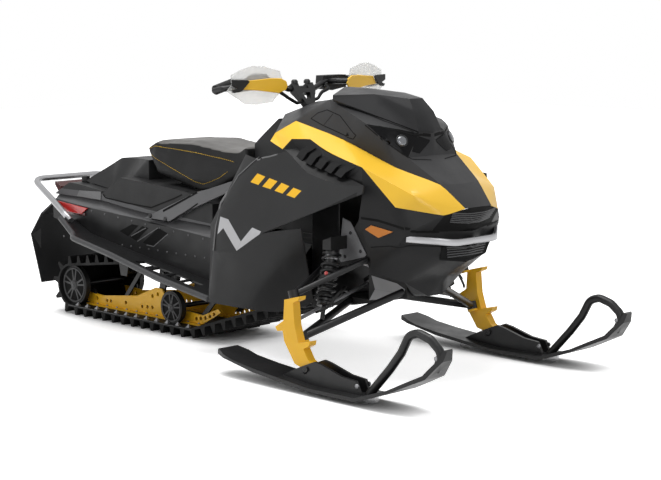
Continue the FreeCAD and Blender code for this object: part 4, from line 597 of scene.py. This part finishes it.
def rounded(points, bend):
    """A run whose corners are eased over a distance."""
    points = [Vector(point) for point in points]
    line = [points[0]]
    for before, corner, after in zip(points, points[1:], points[2:]):
        reach = min(bend, 0.48 * (before - corner).length, 0.48 * (after - corner).length)
        begin = corner + (before - corner).normalized() * reach
        end = corner + (after - corner).normalized() * reach
        for index in range(BEND_STEPS + 1):
            share = index / BEND_STEPS
            line.append(begin.lerp(corner, share).lerp(corner.lerp(end, share), share))
    line.append(points[-1])
    return line


def band(low, sides):
    """The faces between one ring of corners and the next."""
    faces = []
    for number in range(sides):
        other = (number + 1) % sides
        faces.append((low + number, low + other, low + sides + other, low + sides + number))
    return faces


def circle(way, sides):
    """Even steps around a way, each at right angles to it."""
    one = way.orthogonal().normalized()
    two = way.cross(one)
    angles = [2 * math.pi * number / sides for number in range(sides)]
    return [one * math.cos(angle) + two * math.sin(angle) for angle in angles]


def pipe(name, points, radius, look, slot_name, bend=0.0, flat=1.0, square=1.0, sides=14):
    """A bar or tube along a run, round or flattened."""
    line = rounded(points, bend) if bend else [Vector(point) for point in points]
    spots, faces = [], []
    for index, spot in enumerate(line):
        way = (line[min(index + 1, len(line) - 1)] - line[max(index - 1, 0)]).normalized()
        guide = Vector((0, 0, 1)) if abs(way.z) < 0.93 else Vector((1, 0, 0))
        beside = way.cross(guide).normalized()
        above = beside.cross(way).normalized()
        for number in range(sides):
            angle = 2 * math.pi * number / sides
            rise = math.copysign(abs(math.cos(angle)) ** square, math.cos(angle))
            run = math.copysign(abs(math.sin(angle)) ** square, math.sin(angle))
            spots.append(spot + above * (radius * rise) + beside * (radius * flat * run))
        if index:
            faces += band(sides * (index - 1), sides)
    last = sides * (len(line) - 1)
    faces.append(tuple(range(sides - 1, -1, -1)))
    faces.append(tuple(range(last, last + sides)))
    item = place(name, spots, faces, look, slot_name)
    for face in item.data.polygons[-2:]:
        face.use_smooth = False
    return item


BOLT_ROOT = 0.0015


def bolts(name, spots, radius, height, look, slot_name, body="chassis", sides=10, top=0.75):
    """Low heads, round or with few sides, each at its place and facing its way."""
    points, faces = [], []
    for centre, way in spots:
        centre, way = Vector(centre), Vector(way).normalized()
        outs = circle(way, sides)
        start = len(points)
        for reach, rise in ((1.0, -BOLT_ROOT), (1.0, 0.6 * height), (top, height)):
            points += [centre + out * (radius * reach) + way * rise for out in outs]
        points.append(centre + way * (height * 1.03))
        low = start + 2 * sides
        faces += band(start, sides) + band(start + sides, sides)
        for number in range(sides):
            faces.append((low + number, low + (number + 1) % sides, len(points) - 1))
    place(name, points, faces, look, slot_name, body)


def plate(name, outline, way, look, slot_name, body="chassis", edge=0.0):
    """A flat plate through its corners, as thick as the way is long."""
    corners = [Vector(corner) for corner in outline]
    count = len(corners)
    spots = corners + [corner + Vector(way) for corner in corners]
    faces = [tuple(range(count - 1, -1, -1)), tuple(range(count, 2 * count))]
    for index in range(count):
        other = (index + 1) % count
        faces.append((index, other, count + other, count + index))
    item = place(name, spots, faces, look, slot_name, body, smooth=False)
    form = bmesh.new()
    form.from_mesh(item.data)
    bmesh.ops.recalc_face_normals(form, faces=form.faces)
    form.to_mesh(item.data)
    form.free()
    if edge:
        bevel = item.modifiers.new("Bevel", "BEVEL")
        bevel.width = edge
        bevel.segments = 2


WIRE_SIDES = 8


def ring(name, centre, way, radius, wire, look, slot_name, sides=24):
    """A round rim about a place."""
    way = Vector(way).normalized()
    spots, faces = [], []
    for out in circle(way, sides):
        for turn in range(WIRE_SIDES):
            around = 2 * math.pi * turn / WIRE_SIDES
            spots.append(Vector(centre) + out * (radius + wire * math.cos(around))
                         + way * (wire * math.sin(around)))
    for number in range(sides):
        here = WIRE_SIDES * number
        there = WIRE_SIDES * ((number + 1) % sides)
        for turn in range(WIRE_SIDES):
            other = (turn + 1) % WIRE_SIDES
            faces.append((here + turn, there + turn, there + other, here + other))
    place(name, spots, faces, look, slot_name)


COWL = skin("upper_cowl", "headlamps")
CHEEK = skin("belly_pan")
GRILLE = skin("nose_grilles", "belly_pan")
FLANK = skin("side_panels", "lower_panels")
SEAT = skin("seat")

LID = ((0.407, 0.184, 0.918), (0.429, 0.171, 0.939), (0.469, 0.161, 0.951),
       (0.546, 0.172, 0.934), (0.656, 0.203, 0.871), (0.642, 0.203, 0.856),
       (0.478, 0.193, 0.897), (0.407, 0.184, 0.918))
LID_RIB = ((0.482, 0.191, 0.898), (0.506, 0.167, 0.938))
SCREEN_GAP = ((0.476, 0.137, 0.984), (0.505, 0.131, 0.976), (0.716, 0.116, 0.920),
              (0.825, 0.072, 0.877), (0.839, 0.010, 0.870))
LAMP_UP = ((0.699, 0.201, 0.909), (0.743, 0.172, 0.906), (0.770, 0.156, 0.897),
           (0.801, 0.119, 0.886), (0.831, 0.060, 0.866), (0.840, 0.016, 0.852))
LAMP_LOW = ((0.699, 0.201, 0.909), (0.742, 0.188, 0.877), (0.789, 0.167, 0.841),
            (0.824, 0.142, 0.811), (0.849, 0.116, 0.791), (0.866, 0.035, 0.785))
CHEEK_GAP = ((0.769, 0.293, 0.592), (0.836, 0.276, 0.587), (0.929, 0.254, 0.567),
             (0.971, 0.185, 0.552), (0.988, 0.128, 0.549))
LOW_LINE = ((0.800, 0.262, 0.500), (0.883, 0.265, 0.501), (0.939, 0.229, 0.505),
            (0.997, 0.133, 0.499))
TOP_RIM = ((0.233, 0.298, 0.765), (0.313, 0.301, 0.780), (0.409, 0.296, 0.804))
REAR_RIM = ((0.235, 0.300, 0.763), (0.153, 0.313, 0.698), (0.093, 0.347, 0.590),
            (0.085, 0.366, 0.509), (0.093, 0.385, 0.417))
REAR_RIM_OUT = ((0.222, 0.272, 0.770), (0.124, 0.292, 0.700), (0.060, 0.322, 0.592),
                (0.050, 0.343, 0.508), (0.066, 0.368, 0.415))
SEAT_TOP = ((-0.576, 0.150, 0.752), (-0.540, 0.150, 0.762), (-0.425, 0.150, 0.757),
            (-0.267, 0.150, 0.748), (-0.139, 0.150, 0.737), (-0.060, 0.150, 0.728))
SEAT_V = ((-0.570, 0.150, 0.726), (-0.426, 0.150, 0.679), (-0.285, 0.150, 0.635),
          (-0.238, 0.150, 0.628), (-0.192, 0.150, 0.642), (-0.140, 0.150, 0.660),
          (-0.085, 0.150, 0.690))
# Dark strips of painted shade lie along the gaps and seams of the cowl, lamps and cheeks.
SEAM_SHADE_LINES = (("lid_line_", COWL, LID, 0.0030), ("lid_rib_", COWL, LID_RIB, 0.0025),
         ("screen_gap_", COWL, SCREEN_GAP, 0.011), ("lamp_brow_", COWL, LAMP_UP, 0.0045),
         ("lamp_sill_", COWL, LAMP_LOW, 0.0040), ("cheek_gap_", CHEEK, CHEEK_GAP, 0.0085),
         ("cheek_line_", CHEEK, LOW_LINE, 0.0035))
for side, word in SIDES:
    for name, tree, line, width in SEAM_SHADE_LINES:
        strip(name + word, tree, on_side(line, side), width, SEAM_SHADE, "black_plastic")
    # A pale bead along each side panel's top edge is a painted highlight.
    strip("top_rim_" + word, FLANK, on_side(TOP_RIM, side), 0.006, PALE_TRIM_AND_HIGHLIGHT, "grey_plastic",
          crown=0.001)
    for name, line in (("seat_seam_", SEAT_TOP), ("seat_curve_", SEAT_V)):
        strip(name + word, SEAT, on_side(line, side), 0.0020, THREAD, "seat_vinyl",
              crown=0.0008, step=0.0035, dash=(0.0075, 0.0035))
    # The rear flange's pale colour is a painted highlight along the panel's back edge.
    inner = [Vector(spot) for spot in on_side(REAR_RIM, side)]
    outer = [Vector(spot) for spot in on_side(REAR_RIM_OUT, side)]
    faces = [(index, index + 1, len(inner) + index + 1, len(inner) + index)
             for index in range(len(inner) - 1)]
    flange = place("rear_flange_" + word, inner + outer, faces, PALE_TRIM_AND_HIGHLIGHT, "grey_plastic")
    thick = flange.modifiers.new("Thick", "SOLIDIFY")
    thick.thickness = 0.003
    found, way = snap(COWL, (0.806, side * 0.128, 0.853))
    ring("lamp_rim_" + word, found + way * 0.001, way, 0.0205, 0.0030, BLACK, "black_plastic")
    bolts("lamp_bowl_" + word, [(found, way)], 0.0185, 0.006, REFLECTOR, "lamp_lens", sides=24,
          top=0.55)
    found, way = snap(COWL, (0.616, side * 0.205, 0.870))
    bolts("lid_latch_" + word, [(found, way)], 0.009, 0.003, SEAM_SHADE, "black_plastic", sides=3)

# A gloss lens lies over each headlamp, and a dark frame of painted shade runs round the lower
# grille.
LENS_RISE = 0.0012
LENS_ROWS = 8


def lens(name, tree, upper, lower):
    """A gloss patch on a skin between two lines that have as many places."""
    spots, faces = [], []
    count = len(upper)
    for one, two in zip(upper, lower):
        for row in range(LENS_ROWS + 1):
            spot = Vector(one).lerp(Vector(two), row / LENS_ROWS)
            met = snap(tree, spot)
            spots.append(met[0] + met[1] * LENS_RISE if met else spot)
    for index in range(count - 1):
        for row in range(LENS_ROWS):
            low = index * (LENS_ROWS + 1) + row
            faces.append((low, low + 1, low + LENS_ROWS + 2, low + LENS_ROWS + 1))
    place(name, spots, faces, LAMP_BLACK, "lamp_lens")


LENS_UP = ((0.766, 0.169, 0.881), (0.779, 0.156, 0.884), (0.792, 0.139, 0.880),
           (0.804, 0.122, 0.877), (0.816, 0.098, 0.872), (0.828, 0.075, 0.867),
           (0.834, 0.046, 0.860), (0.840, 0.016, 0.852))
LENS_LOW = ((0.768, 0.169, 0.877), (0.782, 0.165, 0.858), (0.793, 0.162, 0.842),
            (0.810, 0.149, 0.833), (0.825, 0.134, 0.824), (0.835, 0.102, 0.816),
            (0.842, 0.072, 0.809), (0.841, 0.020, 0.846))
FRAME = (("top", ((0.997, 0.129, 0.501), (1.014, 0.025, 0.493), (1.016, 0, 0.492))),
         ("side", ((0.997, 0.129, 0.501), (0.990, 0.122, 0.449))),
         ("foot", ((0.990, 0.122, 0.449), (1.004, 0, 0.437))))
for side, word in SIDES:
    lens("lamp_glass_" + word, COWL, on_side(LENS_UP, side), on_side(LENS_LOW, side))
    for tag, line in FRAME:
        strip("grille_frame_%s_%s" % (tag, word), GRILLE, on_side(line, side), 0.0085, SEAM_SHADE,
              "black_plastic", rise=0.0016)

# Slats across the two grilles: count, front, lowest height, pitch, half width and its growth.
GRILLES = (("upper_slat_%d", 6, 1.05, 0.563, 0.0088, 0.118, 0.0),
           ("lower_slat_%d", 5, 1.02, 0.450, 0.0096, 0.098, 0.003))
for name, count, front, low, pitch, half, growth in GRILLES:
    for number in range(count):
        height = low + pitch * number
        reach = half + growth * number
        strip(name % number, GRILLE, [(front, -reach, height), (front + 0.01, 0, height),
              (front, reach, height)], 0.0052, SLAT, "black_plastic", rise=0.0005, crown=0.0035)

# The bumpers are drawn thicker and with wider bends than their plain solids.
REAR_LOOP = ((-0.987, -0.250, 0.425), (-1.100, -0.235, 0.480), (-1.336, -0.190, 0.574),
             (-1.336, 0.190, 0.574), (-1.100, 0.235, 0.480), (-0.987, 0.250, 0.425))
rear_loop = pipe("rear_loop", REAR_LOOP, 0.0135, SILVER, "silver_metal", bend=0.055)
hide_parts("rear_bumper")
FRONT_LOOP = ((0.936, -0.242, 0.529), (1.046, -0.108, 0.513), (1.046, 0.108, 0.513),
              (0.936, 0.242, 0.529))
front_loop = pipe("front_loop", FRONT_LOOP, 0.0120, SILVER, "silver_metal", bend=0.025,
                  flat=0.6, square=0.45, sides=16)
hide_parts("front_bumper")

# Tail: long red side lenses.
TUNNEL_FACE = 0.205
LENS_FACE = 0.2075
LENS_LINE = ((-1.146, 0.497), (-0.920, 0.480), (-0.961, 0.452), (-1.065, 0.455), (-1.105, 0.479))
for side, word in SIDES:
    plate("side_lens_" + word, [(x, side * LENS_FACE, z) for x, z in LENS_LINE],
          (0, side * 0.0065, 0), RED, "red_lens", edge=0.0015)

# The tunnel's side and the foot of the deck: a pale top band and two rows of rivets.
painted(TUNNEL_METAL, [[(-1.20, 0.560), (-0.835, 0.560), (-0.916, 0.483), (-1.20, 0.503)],
                       [(-0.916, 0.483), (-0.835, 0.560), (-0.569, 0.560), (-0.569, 0.462)],
                       [(-0.569, 0.560), (-0.10, 0.560), (-0.10, 0.425), (-0.569, 0.462)]],
        (0.108, 0.108, 0.111))
painted(DECK, [[(-1.30, 0.40), (-1.30, 0.548), (-0.835, 0.548), (-0.803, 0.537), (-0.803, 0.40)],
               [(-0.803, 0.40), (-0.803, 0.537), (-0.529, 0.506), (-0.529, 0.40)],
               [(-0.529, 0.40), (-0.529, 0.506), (-0.10, 0.480), (-0.10, 0.40)]],
        (0.080, 0.080, 0.083))
ROWS = ((17, (-1.10, 0.345), (-0.172, 0.345)), (9, (-0.90, 0.470), (-0.18, 0.420)))
rivets = []
for side, _ in SIDES:
    for count, begin, end in ROWS:
        for number in range(count):
            x, z = Vector(begin).lerp(Vector(end), number / (count - 1))
            rivets.append(((x, side * TUNNEL_FACE, z), (0, side, 0)))
bolts("tunnel_rivets", rivets, 0.0045, 0.0020, GREY_METAL, "black_metal", sides=8)

# A plain zigzag stands on the side panels.
painted(SIDE_PAINTED, [[(0.099, 0.479), (0.104, 0.546), (0.118, 0.545), (0.131, 0.506)],
                       [(0.104, 0.546), (0.154, 0.540), (0.242, 0.467), (0.223, 0.431),
                        (0.131, 0.506)],
                       [(0.242, 0.467), (0.297, 0.523), (0.349, 0.514), (0.344, 0.504),
                        (0.223, 0.431)]], (0.42, 0.42, 0.43))

# Painted shade runs as a dark band along the panels' lower edge, where it returns underneath.
painted(SIDE_PAINTED, [[(0.230, 0.415), (0.345, 0.468), (0.345, 0.483), (0.230, 0.430)],
                       [(0.345, 0.468), (0.560, 0.566), (0.560, 0.583), (0.345, 0.483)],
                       [(0.560, 0.566), (0.790, 0.670), (0.790, 0.687), (0.560, 0.583)]],
        (0.005, 0.005, 0.005))

# Pressed clips stand in rows on the inside of the belt.
CLIP_FIRST = -1.06
CLIP_PITCH = 0.0672
CLIP_FOOT = 0.041
CLIP_TOP = 0.055
clips = []
for side, _ in SIDES:
    for number in range(12):
        x = CLIP_FIRST + CLIP_PITCH * number
        clips += [(x, side * 0.166), (x, side * 0.112)]
spots, faces = [], []
for x, y in clips:
    start = len(spots)
    spots += [(x - 0.011, y - 0.009, CLIP_FOOT), (x + 0.011, y - 0.009, CLIP_FOOT),
              (x + 0.011, y + 0.009, CLIP_FOOT), (x - 0.011, y + 0.009, CLIP_FOOT),
              (x - 0.002, y, CLIP_TOP), (x + 0.002, y, CLIP_TOP)]
    faces += [(start, start + 1, start + 5, start + 4), (start + 1, start + 2, start + 5),
              (start + 2, start + 3, start + 4, start + 5), (start + 3, start, start + 4)]
place("track_clips", spots, faces, CAST, "steel", smooth=False)

# Wheel faces: a dark web of painted shade behind the spokes, five pairs of spokes, a rim, a round
# hub and a bolt.
# Each wheel is its place (x, z), its radius and how far out its face stands. The widths of its
# parts are shares of the radius.
WHEELS = ((-1.093, 0.127, 0.085, 0.160), (-0.437, 0.109, 0.067, 0.160),
          (-0.550, 0.225, 0.055, 0.082))
for wheel, (x, z, radius, outside) in enumerate(WHEELS):
    for side, word in SIDES:
        tag = "%d_%s" % (wheel, word)
        way = Vector((0, side, 0))
        centre = Vector((x, side * outside, z))
        bolts("wheel_web_" + tag, [(centre - way * 0.004, way)], radius * 0.80, 0.0030, SEAM_SHADE,
              "wheel_plastic", sides=32, top=0.97)
        ring("wheel_rim_" + tag, centre, way, radius * 0.86, radius * 0.05, WHEEL_FACE,
             "wheel_plastic", sides=36)
        bolts("wheel_hub_" + tag, [(centre - way * 0.002, way)], radius * 0.24, 0.0080, WHEEL_FACE,
              "wheel_plastic", sides=24)
        bolts("wheel_bolt_" + tag, [(centre + way * 0.006, way)], radius * 0.08, 0.0040, GREY_METAL,
              "steel", sides=8)
        spots, faces = [], []
        for number in range(5):
            for lean in (-0.20, 0.20):
                angle = 2 * math.pi * number / 5 + 0.3 + lean
                along = Vector((math.cos(angle), 0, math.sin(angle)))
                across = Vector((-math.sin(angle), 0, math.cos(angle)))
                start = len(spots)
                for reach, half in ((0.20, 0.050), (0.84, 0.038)):
                    for turn in (-1, 1):
                        for lift in (-0.003, 0.0015):
                            spots.append(centre + along * (radius * reach)
                                         + across * (turn * radius * half) + way * lift)
                faces += [(start + 1, start + 3, start + 7, start + 5),
                          (start, start + 1, start + 5, start + 4),
                          (start + 2, start + 6, start + 7, start + 3)]
        place("wheel_spokes_" + tag, spots, faces, WHEEL_FACE, "wheel_plastic", smooth=False)

# Fittings of the tunnel, flap, deck and struts: recesses filled with painted shade, pale edges of
# painted highlight on the slashes, dark lines of painted shade along the pad, strut and flap, bolts
# and latch plates.
TUNNEL = skin("tunnel")
FLAP = skin("snow_flap")
STRUTS = skin("seat_struts")
DECK_SKIN = skin("rear_deck")
RECESSES = (((-0.711, 0.402), (-0.655, 0.386), (-0.585, 0.436), (-0.628, 0.438)),
            ((-0.642, 0.384), (-0.601, 0.372), (-0.520, 0.432), (-0.560, 0.436)),
            ((-0.559, 0.368), (-0.489, 0.359), (-0.395, 0.420), (-0.459, 0.438)))
PAD = ((-0.842, 0.190, 0.556), (-0.807, 0.200, 0.533), (-0.661, 0.200, 0.522),
       (-0.507, 0.200, 0.516), (-0.363, 0.200, 0.564), (-0.290, 0.180, 0.592))
SLASHES = (((-0.634, 0.388), (-0.536, 0.431)), ((-0.593, 0.370), (-0.459, 0.438)),
           ((-0.534, 0.361), (-0.489, 0.359), (-0.395, 0.420)))
STRUT_FACE = 0.225
STRUT_LINES = (("strut_slot_", ((-0.405, 0.512), (-0.193, 0.604)), 0.0085),
               ("strut_edge_", ((-0.480, 0.470), (-0.360, 0.468), (-0.190, 0.560)), 0.0060))
LATCH = ((-1.000, 0.1915, 0.549), (-0.849, 0.1915, 0.555), (-0.841, 0.2010, 0.521),
         (-1.019, 0.1915, 0.523))
for side, word in SIDES:
    strip("deck_pad_line_" + word, DECK_SKIN, on_side(PAD, side), 0.0060, SEAM_SHADE, "black_plastic",
          heart=(-0.6, 0, 0.4))
    for number, outline in enumerate(RECESSES):
        sunk = [(x, side * (TUNNEL_FACE - 0.0004), z) for x, z in outline]
        plate("tunnel_recess_%s_%d" % (word, number), sunk, (0, side * 0.0011, 0), SEAM_SHADE,
              "black_metal")
    for number, line in enumerate(SLASHES):
        strip("slash_edge_%s_%d" % (word, number), TUNNEL, [(x, side * 0.207, z) for x, z in line],
              0.0042, PALE_TRIM_AND_HIGHLIGHT, "black_metal", crown=0.001, heart=(-0.5, 0, 0.4))
    for name, line, width in STRUT_LINES:
        strip(name + word, STRUTS, [(x, side * STRUT_FACE, z) for x, z in line], width, SEAM_SHADE,
              "grey_metal", heart=(-0.4, 0, 0.5))
    heads = []
    for x, z in ((-0.487, 0.487), (-0.392, 0.480)):
        met = snap(STRUTS, (x, side * STRUT_FACE, z), heart=(x, 0, z))
        if met:
            heads.append(met)
    bolts("strut_bolts_" + word, heads, 0.0105, 0.0050, BLACK_METAL, "black_metal", sides=6)
    plate("deck_latch_plate_" + word, on_side(LATCH, side), (0, side * 0.002, 0), PALE_TRIM_AND_HIGHLIGHT,
          "black_plastic", edge=0.0008)
    strip("flap_fold_" + word, FLAP, [(-1.30, side * 0.056, 0.401), (-1.33, side * 0.150, 0.347)],
          0.004, SEAM_SHADE, "black_plastic", heart=(-1.0, 0, 0.3))
strip("flap_crease", FLAP, [(-1.345, -0.172, 0.234), (-1.345, 0.172, 0.230)], 0.005, SEAM_SHADE,
      "black_plastic", heart=(-1.0, 0, 0.2))

# A thin pale line along the belt's edge near the ground is a painted highlight.
BELT_SIDE = 0.1785
BELT_FOOT = 0.0385
for side, word in SIDES:
    pipe("belt_edge_" + word, [(x, side * BELT_SIDE, BELT_FOOT) for x in (-1.115, -0.290)],
         0.0016, PALE_TRIM_AND_HIGHLIGHT, "track_rubber", sides=6)

# Front suspension: a stacked spring, a bright cap, red marks and two hoses on each damper.
# Shares run from the damper's foot to its head.
DAMPER = ((0.632, 0.350, 0.222), (0.600, 0.262, 0.470))
HOSES = (((0.640, 0.235, 0.330), (0.655, 0.300, 0.290), (0.640, 0.360, 0.330),
          (0.635, 0.405, 0.285)),
         ((0.655, 0.240, 0.310), (0.690, 0.310, 0.335), (0.680, 0.365, 0.270),
          (0.650, 0.400, 0.255)))
for side, word in SIDES:
    foot, head = [Vector(spot) for spot in on_side(DAMPER, side)]
    way = (head - foot).normalized()
    pipe("shock_sleeve_" + word, [foot.lerp(head, 0.28), foot.lerp(head, 0.86)], 0.0215,
         BLACK_METAL, "black_metal")
    pipe("shock_cap_" + word, [foot.lerp(head, 0.82), foot.lerp(head, 0.91)], 0.0245, SILVER,
         "silver_metal")
    pipe("shock_cup_" + word, [foot.lerp(head, 0.18), foot.lerp(head, 0.29)], 0.0270,
         BLACK_METAL, "black_metal")
    for number in range(6):
        ring("shock_ring_%s_%d" % (word, number), foot.lerp(head, 0.32 + 0.085 * number), way,
             0.0260, 0.0070, BLACK_METAL, "black_metal", sides=20)
    marks = []
    for share in (0.49, 0.61):
        out = Vector((0.45, side * 0.90, 0.30)).normalized()
        out = (out - way * out.dot(way)).normalized()
        marks.append((foot.lerp(head, share) + out * 0.0300, out))
    bolts("shock_marks_" + word, marks, 0.0075, 0.0030, RED, "red_lens", sides=10)
    for number, line in enumerate(HOSES):
        pipe("hose_%s_%d" % (word, number), on_side(line, side), 0.0045, GRIP, "grip_rubber",
             bend=0.045, sides=8)

# Pale castings on the bulkhead, and a grey plate with three bolts on each of its sides.
painted(HOUSING, [[(0.690, 0.414), (0.722, 0.415), (0.744, 0.380), (0.711, 0.356)],
                  [(0.638, 0.353), (0.765, 0.338), (0.805, 0.321), (0.800, 0.304),
                   (0.656, 0.304)],
                  [(0.656, 0.304), (0.800, 0.304), (0.759, 0.281), (0.627, 0.261)]],
        (0.38, 0.38, 0.39))
TOWER = ((0.600, 0.572), (0.640, 0.560), (0.718, 0.450), (0.712, 0.440), (0.592, 0.409),
         (0.580, 0.420))
TOWER_BOLTS = ((0.640, 0.520), (0.690, 0.458), (0.612, 0.432))
TOWER_FACE = 0.2100
TOWER_THICK = 0.0035
for side, word in SIDES:
    plate("tower_plate_" + word, [(x, side * TOWER_FACE, z) for x, z in TOWER],
          (0, side * TOWER_THICK, 0), TOWER_GREY, "black_metal", edge=0.0012)
    heads = [((x, side * (TOWER_FACE + TOWER_THICK), z), (0, side, 0)) for x, z in TOWER_BOLTS]
    bolts("tower_bolts_" + word, heads, 0.0065, 0.0035, BLACK_METAL, "black_metal", sides=6)

# A dark wall of painted shade behind the tank closes the view through the hull.
WALL_PLACE = 0.365
POST_GAP = 0.034
WALL_TOP = 0.890
WALL_THICK = 0.003
WALL = ((POST_GAP, 0.560), (0.300, 0.560), (0.288, 0.780), (0.262, 0.800), (0.250, 0.850),
        (0.190, 0.880), (POST_GAP, WALL_TOP))
MIDDLE_WALL = ((-POST_GAP, 0.755), (POST_GAP, 0.755), (POST_GAP, WALL_TOP), (-POST_GAP, WALL_TOP))


def wall(name, outline):
    """A dark upright wall of painted shade across the hull, through its corners (y, z)."""
    plate(name, [(WALL_PLACE, y, z) for y, z in outline], (-WALL_THICK, 0, 0), SEAM_SHADE,
          "black_plastic")


for side, word in SIDES:
    wall("inner_wall_" + word, [(side * y, z) for y, z in WALL])
wall("inner_wall_middle", MIDDLE_WALL)

# Skis: bright bolts through the loop, and dark ones through the saddle.
SKI_HALF_STANCE = 0.49
for side, word in SIDES:
    shell = skin("ski_" + word)
    heads = []
    darks = []
    for face in (-1, 1):
        for x, z, kind in ((1.310, 0.199, heads), (0.9715, 0.058, heads), (0.720, 0.074, darks)):
            origin = Vector((x, side * SKI_HALF_STANCE + face * 0.2, z))
            met, normal, _, _ = shell.ray_cast(origin, Vector((0, -face, 0)), 0.3)
            if met is not None:
                kind.append((met, Vector((0, face, 0))))
    bolts("ski_bolts_" + word, heads, 0.0085, 0.0040, CAST, "steel", body=word + "_ski", sides=12)
    bolts("saddle_bolts_" + word, darks, 0.0115, 0.0060, BLACK_METAL, "black_metal",
          body=word + "_ski", sides=6)

# Handlebar: an arm before each shield, and round clamp knobs.
ARM = ((0.219, 0.406, 1.060), (0.230, 0.339, 1.058), (0.232, 0.329, 1.052), (0.227, 0.358, 1.023),
       (0.225, 0.370, 1.015), (0.220, 0.396, 1.012), (0.219, 0.405, 1.022), (0.222, 0.383, 1.028),
       (0.219, 0.406, 1.038))
for side, word in SIDES:
    plate("guard_arm_" + word, on_side(ARM, side), (0.006, 0, 0), BLACK, "black_plastic",
          body="steering", edge=0.002)
bolts("clamp_knobs", [((0.162, side * 0.033, 1.034), (0, 0, 1)) for side, _ in SIDES],
      0.0130, 0.0150, BLACK_METAL, "black_metal", body="steering", sides=18, top=0.60)

# Slanted bars stand where the photograph has words.
painted(SIDE_PAINTED, [[(0.238, 0.683), (0.265, 0.716), (0.313, 0.708), (0.284, 0.676)],
                       [(0.308, 0.672), (0.337, 0.704), (0.382, 0.696), (0.354, 0.666)],
                       [(0.377, 0.662), (0.405, 0.692), (0.447, 0.683), (0.420, 0.655)],
                       [(0.442, 0.651), (0.469, 0.679), (0.512, 0.671), (0.485, 0.644)]],
        (0.80, 0.45, 0.03))


# Lamps, world and floor.
def lamp(name, place, aim, size, power, tall=None):
    """A soft square light that faces a point."""
    data = bpy.data.lights.new(name, "AREA")
    data.shape = "RECTANGLE"
    data.size = size
    data.size_y = tall or size
    data.energy = power
    item = add(name, data)
    item.location = place
    item.rotation_euler = (Vector(aim) - Vector(place)).to_track_quat("-Z", "Y").to_euler()
    return item


lamp("Overhead", (0.2, -0.6, 4.0), (0, 0, 0.5), 3.0, 135, tall=1.8)
lamp("Front_Right", (4.2, -2.6, 2.6), (0.4, 0, 0.5), 1.8, 41)
lamp("Right_Side", (-1.6, -4.4, 2.2), (-0.3, 0, 0.5), 2.2, 40)
back = lamp("Back_Left", (-2.6, 3.6, 2.6), (0, 0, 0.6), 2.0, 34)
back.visible_glossy = False


def seen_directly(tree):
    """One for rays from the camera, off gloss and through glass, and nought for the rest."""
    path = tree.nodes.new("ShaderNodeLightPath")
    rays = math_node(tree, "MAXIMUM", path.outputs["Is Camera Ray"], path.outputs["Is Glossy Ray"])
    return math_node(tree, "MAXIMUM", rays, path.outputs["Is Transmission Ray"])


# The world is white to the eye and lights the scene less.
world = bpy.data.worlds.new("World")
SCENE.world = world
world.use_nodes = True
tree = world.node_tree
tree.nodes.clear()
seen = seen_directly(tree)
plain = tree.nodes.new("ShaderNodeBackground")
fix(plain, Color=(1, 1, 1, 1), Strength=0.36)
white = tree.nodes.new("ShaderNodeBackground")
fix(white, Color=(1, 1, 1, 1))
mix = tree.nodes.new("ShaderNodeMixShader")
tree.links.new(seen, mix.inputs[0])
tree.links.new(plain.outputs[0], mix.inputs[1])
tree.links.new(white.outputs[0], mix.inputs[2])
out = tree.nodes.new("ShaderNodeOutputWorld")
tree.links.new(mix.outputs[0], out.inputs["Surface"])

# The floor shows whiter away from the part, and a painted contact shadow darkens it where something
# stands close over it.
WHITER_FROM = 1.2
floor_mesh = bpy.data.meshes.new("Floor")
reach = 14.0
floor_mesh.from_pydata([(-reach, -reach, 0), (reach, -reach, 0), (reach, reach, 0),
                        (-reach, reach, 0)], [], [(0, 1, 2, 3)])
floor = add("Floor", floor_mesh)
floor_look, tree, shader = material("Floor_White")
fix(shader, Base_Color=(0.86, 0.86, 0.86, 1), Roughness=0.7, Specular_IOR_Level=0.2,
    Emission_Color=(1, 1, 1, 1))
x, y, _ = axes(tree)
far = math_node(tree, "SQRT", math_node(tree, "ADD", math_node(tree, "MULTIPLY", x, x),
                                        math_node(tree, "MULTIPLY", y, y)))
past = math_node(tree, "SUBTRACT", far, WHITER_FROM)
rise = math_node(tree, "MULTIPLY", past, 0.5, clamp=True)
level = math_node(tree, "ADD", math_node(tree, "MULTIPLY", rise, 0.5), 0.62)
# Ambient occlusion paints the contact shadow into the floor's glow.
near = tree.nodes.new("ShaderNodeAmbientOcclusion")
fix(near, Distance=0.10)
painted_contact_shade = math_node(tree, "POWER", near.outputs["AO"], 2.2)
rays = math_node(tree, "MULTIPLY", seen_directly(tree), level)
lift = math_node(tree, "MULTIPLY", rays, painted_contact_shade)
tree.links.new(lift, shader.inputs["Emission Strength"])
floor_mesh.materials.append(floor_look)
floor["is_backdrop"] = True

SCENE.view_settings.view_transform = "Standard"

low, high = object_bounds()
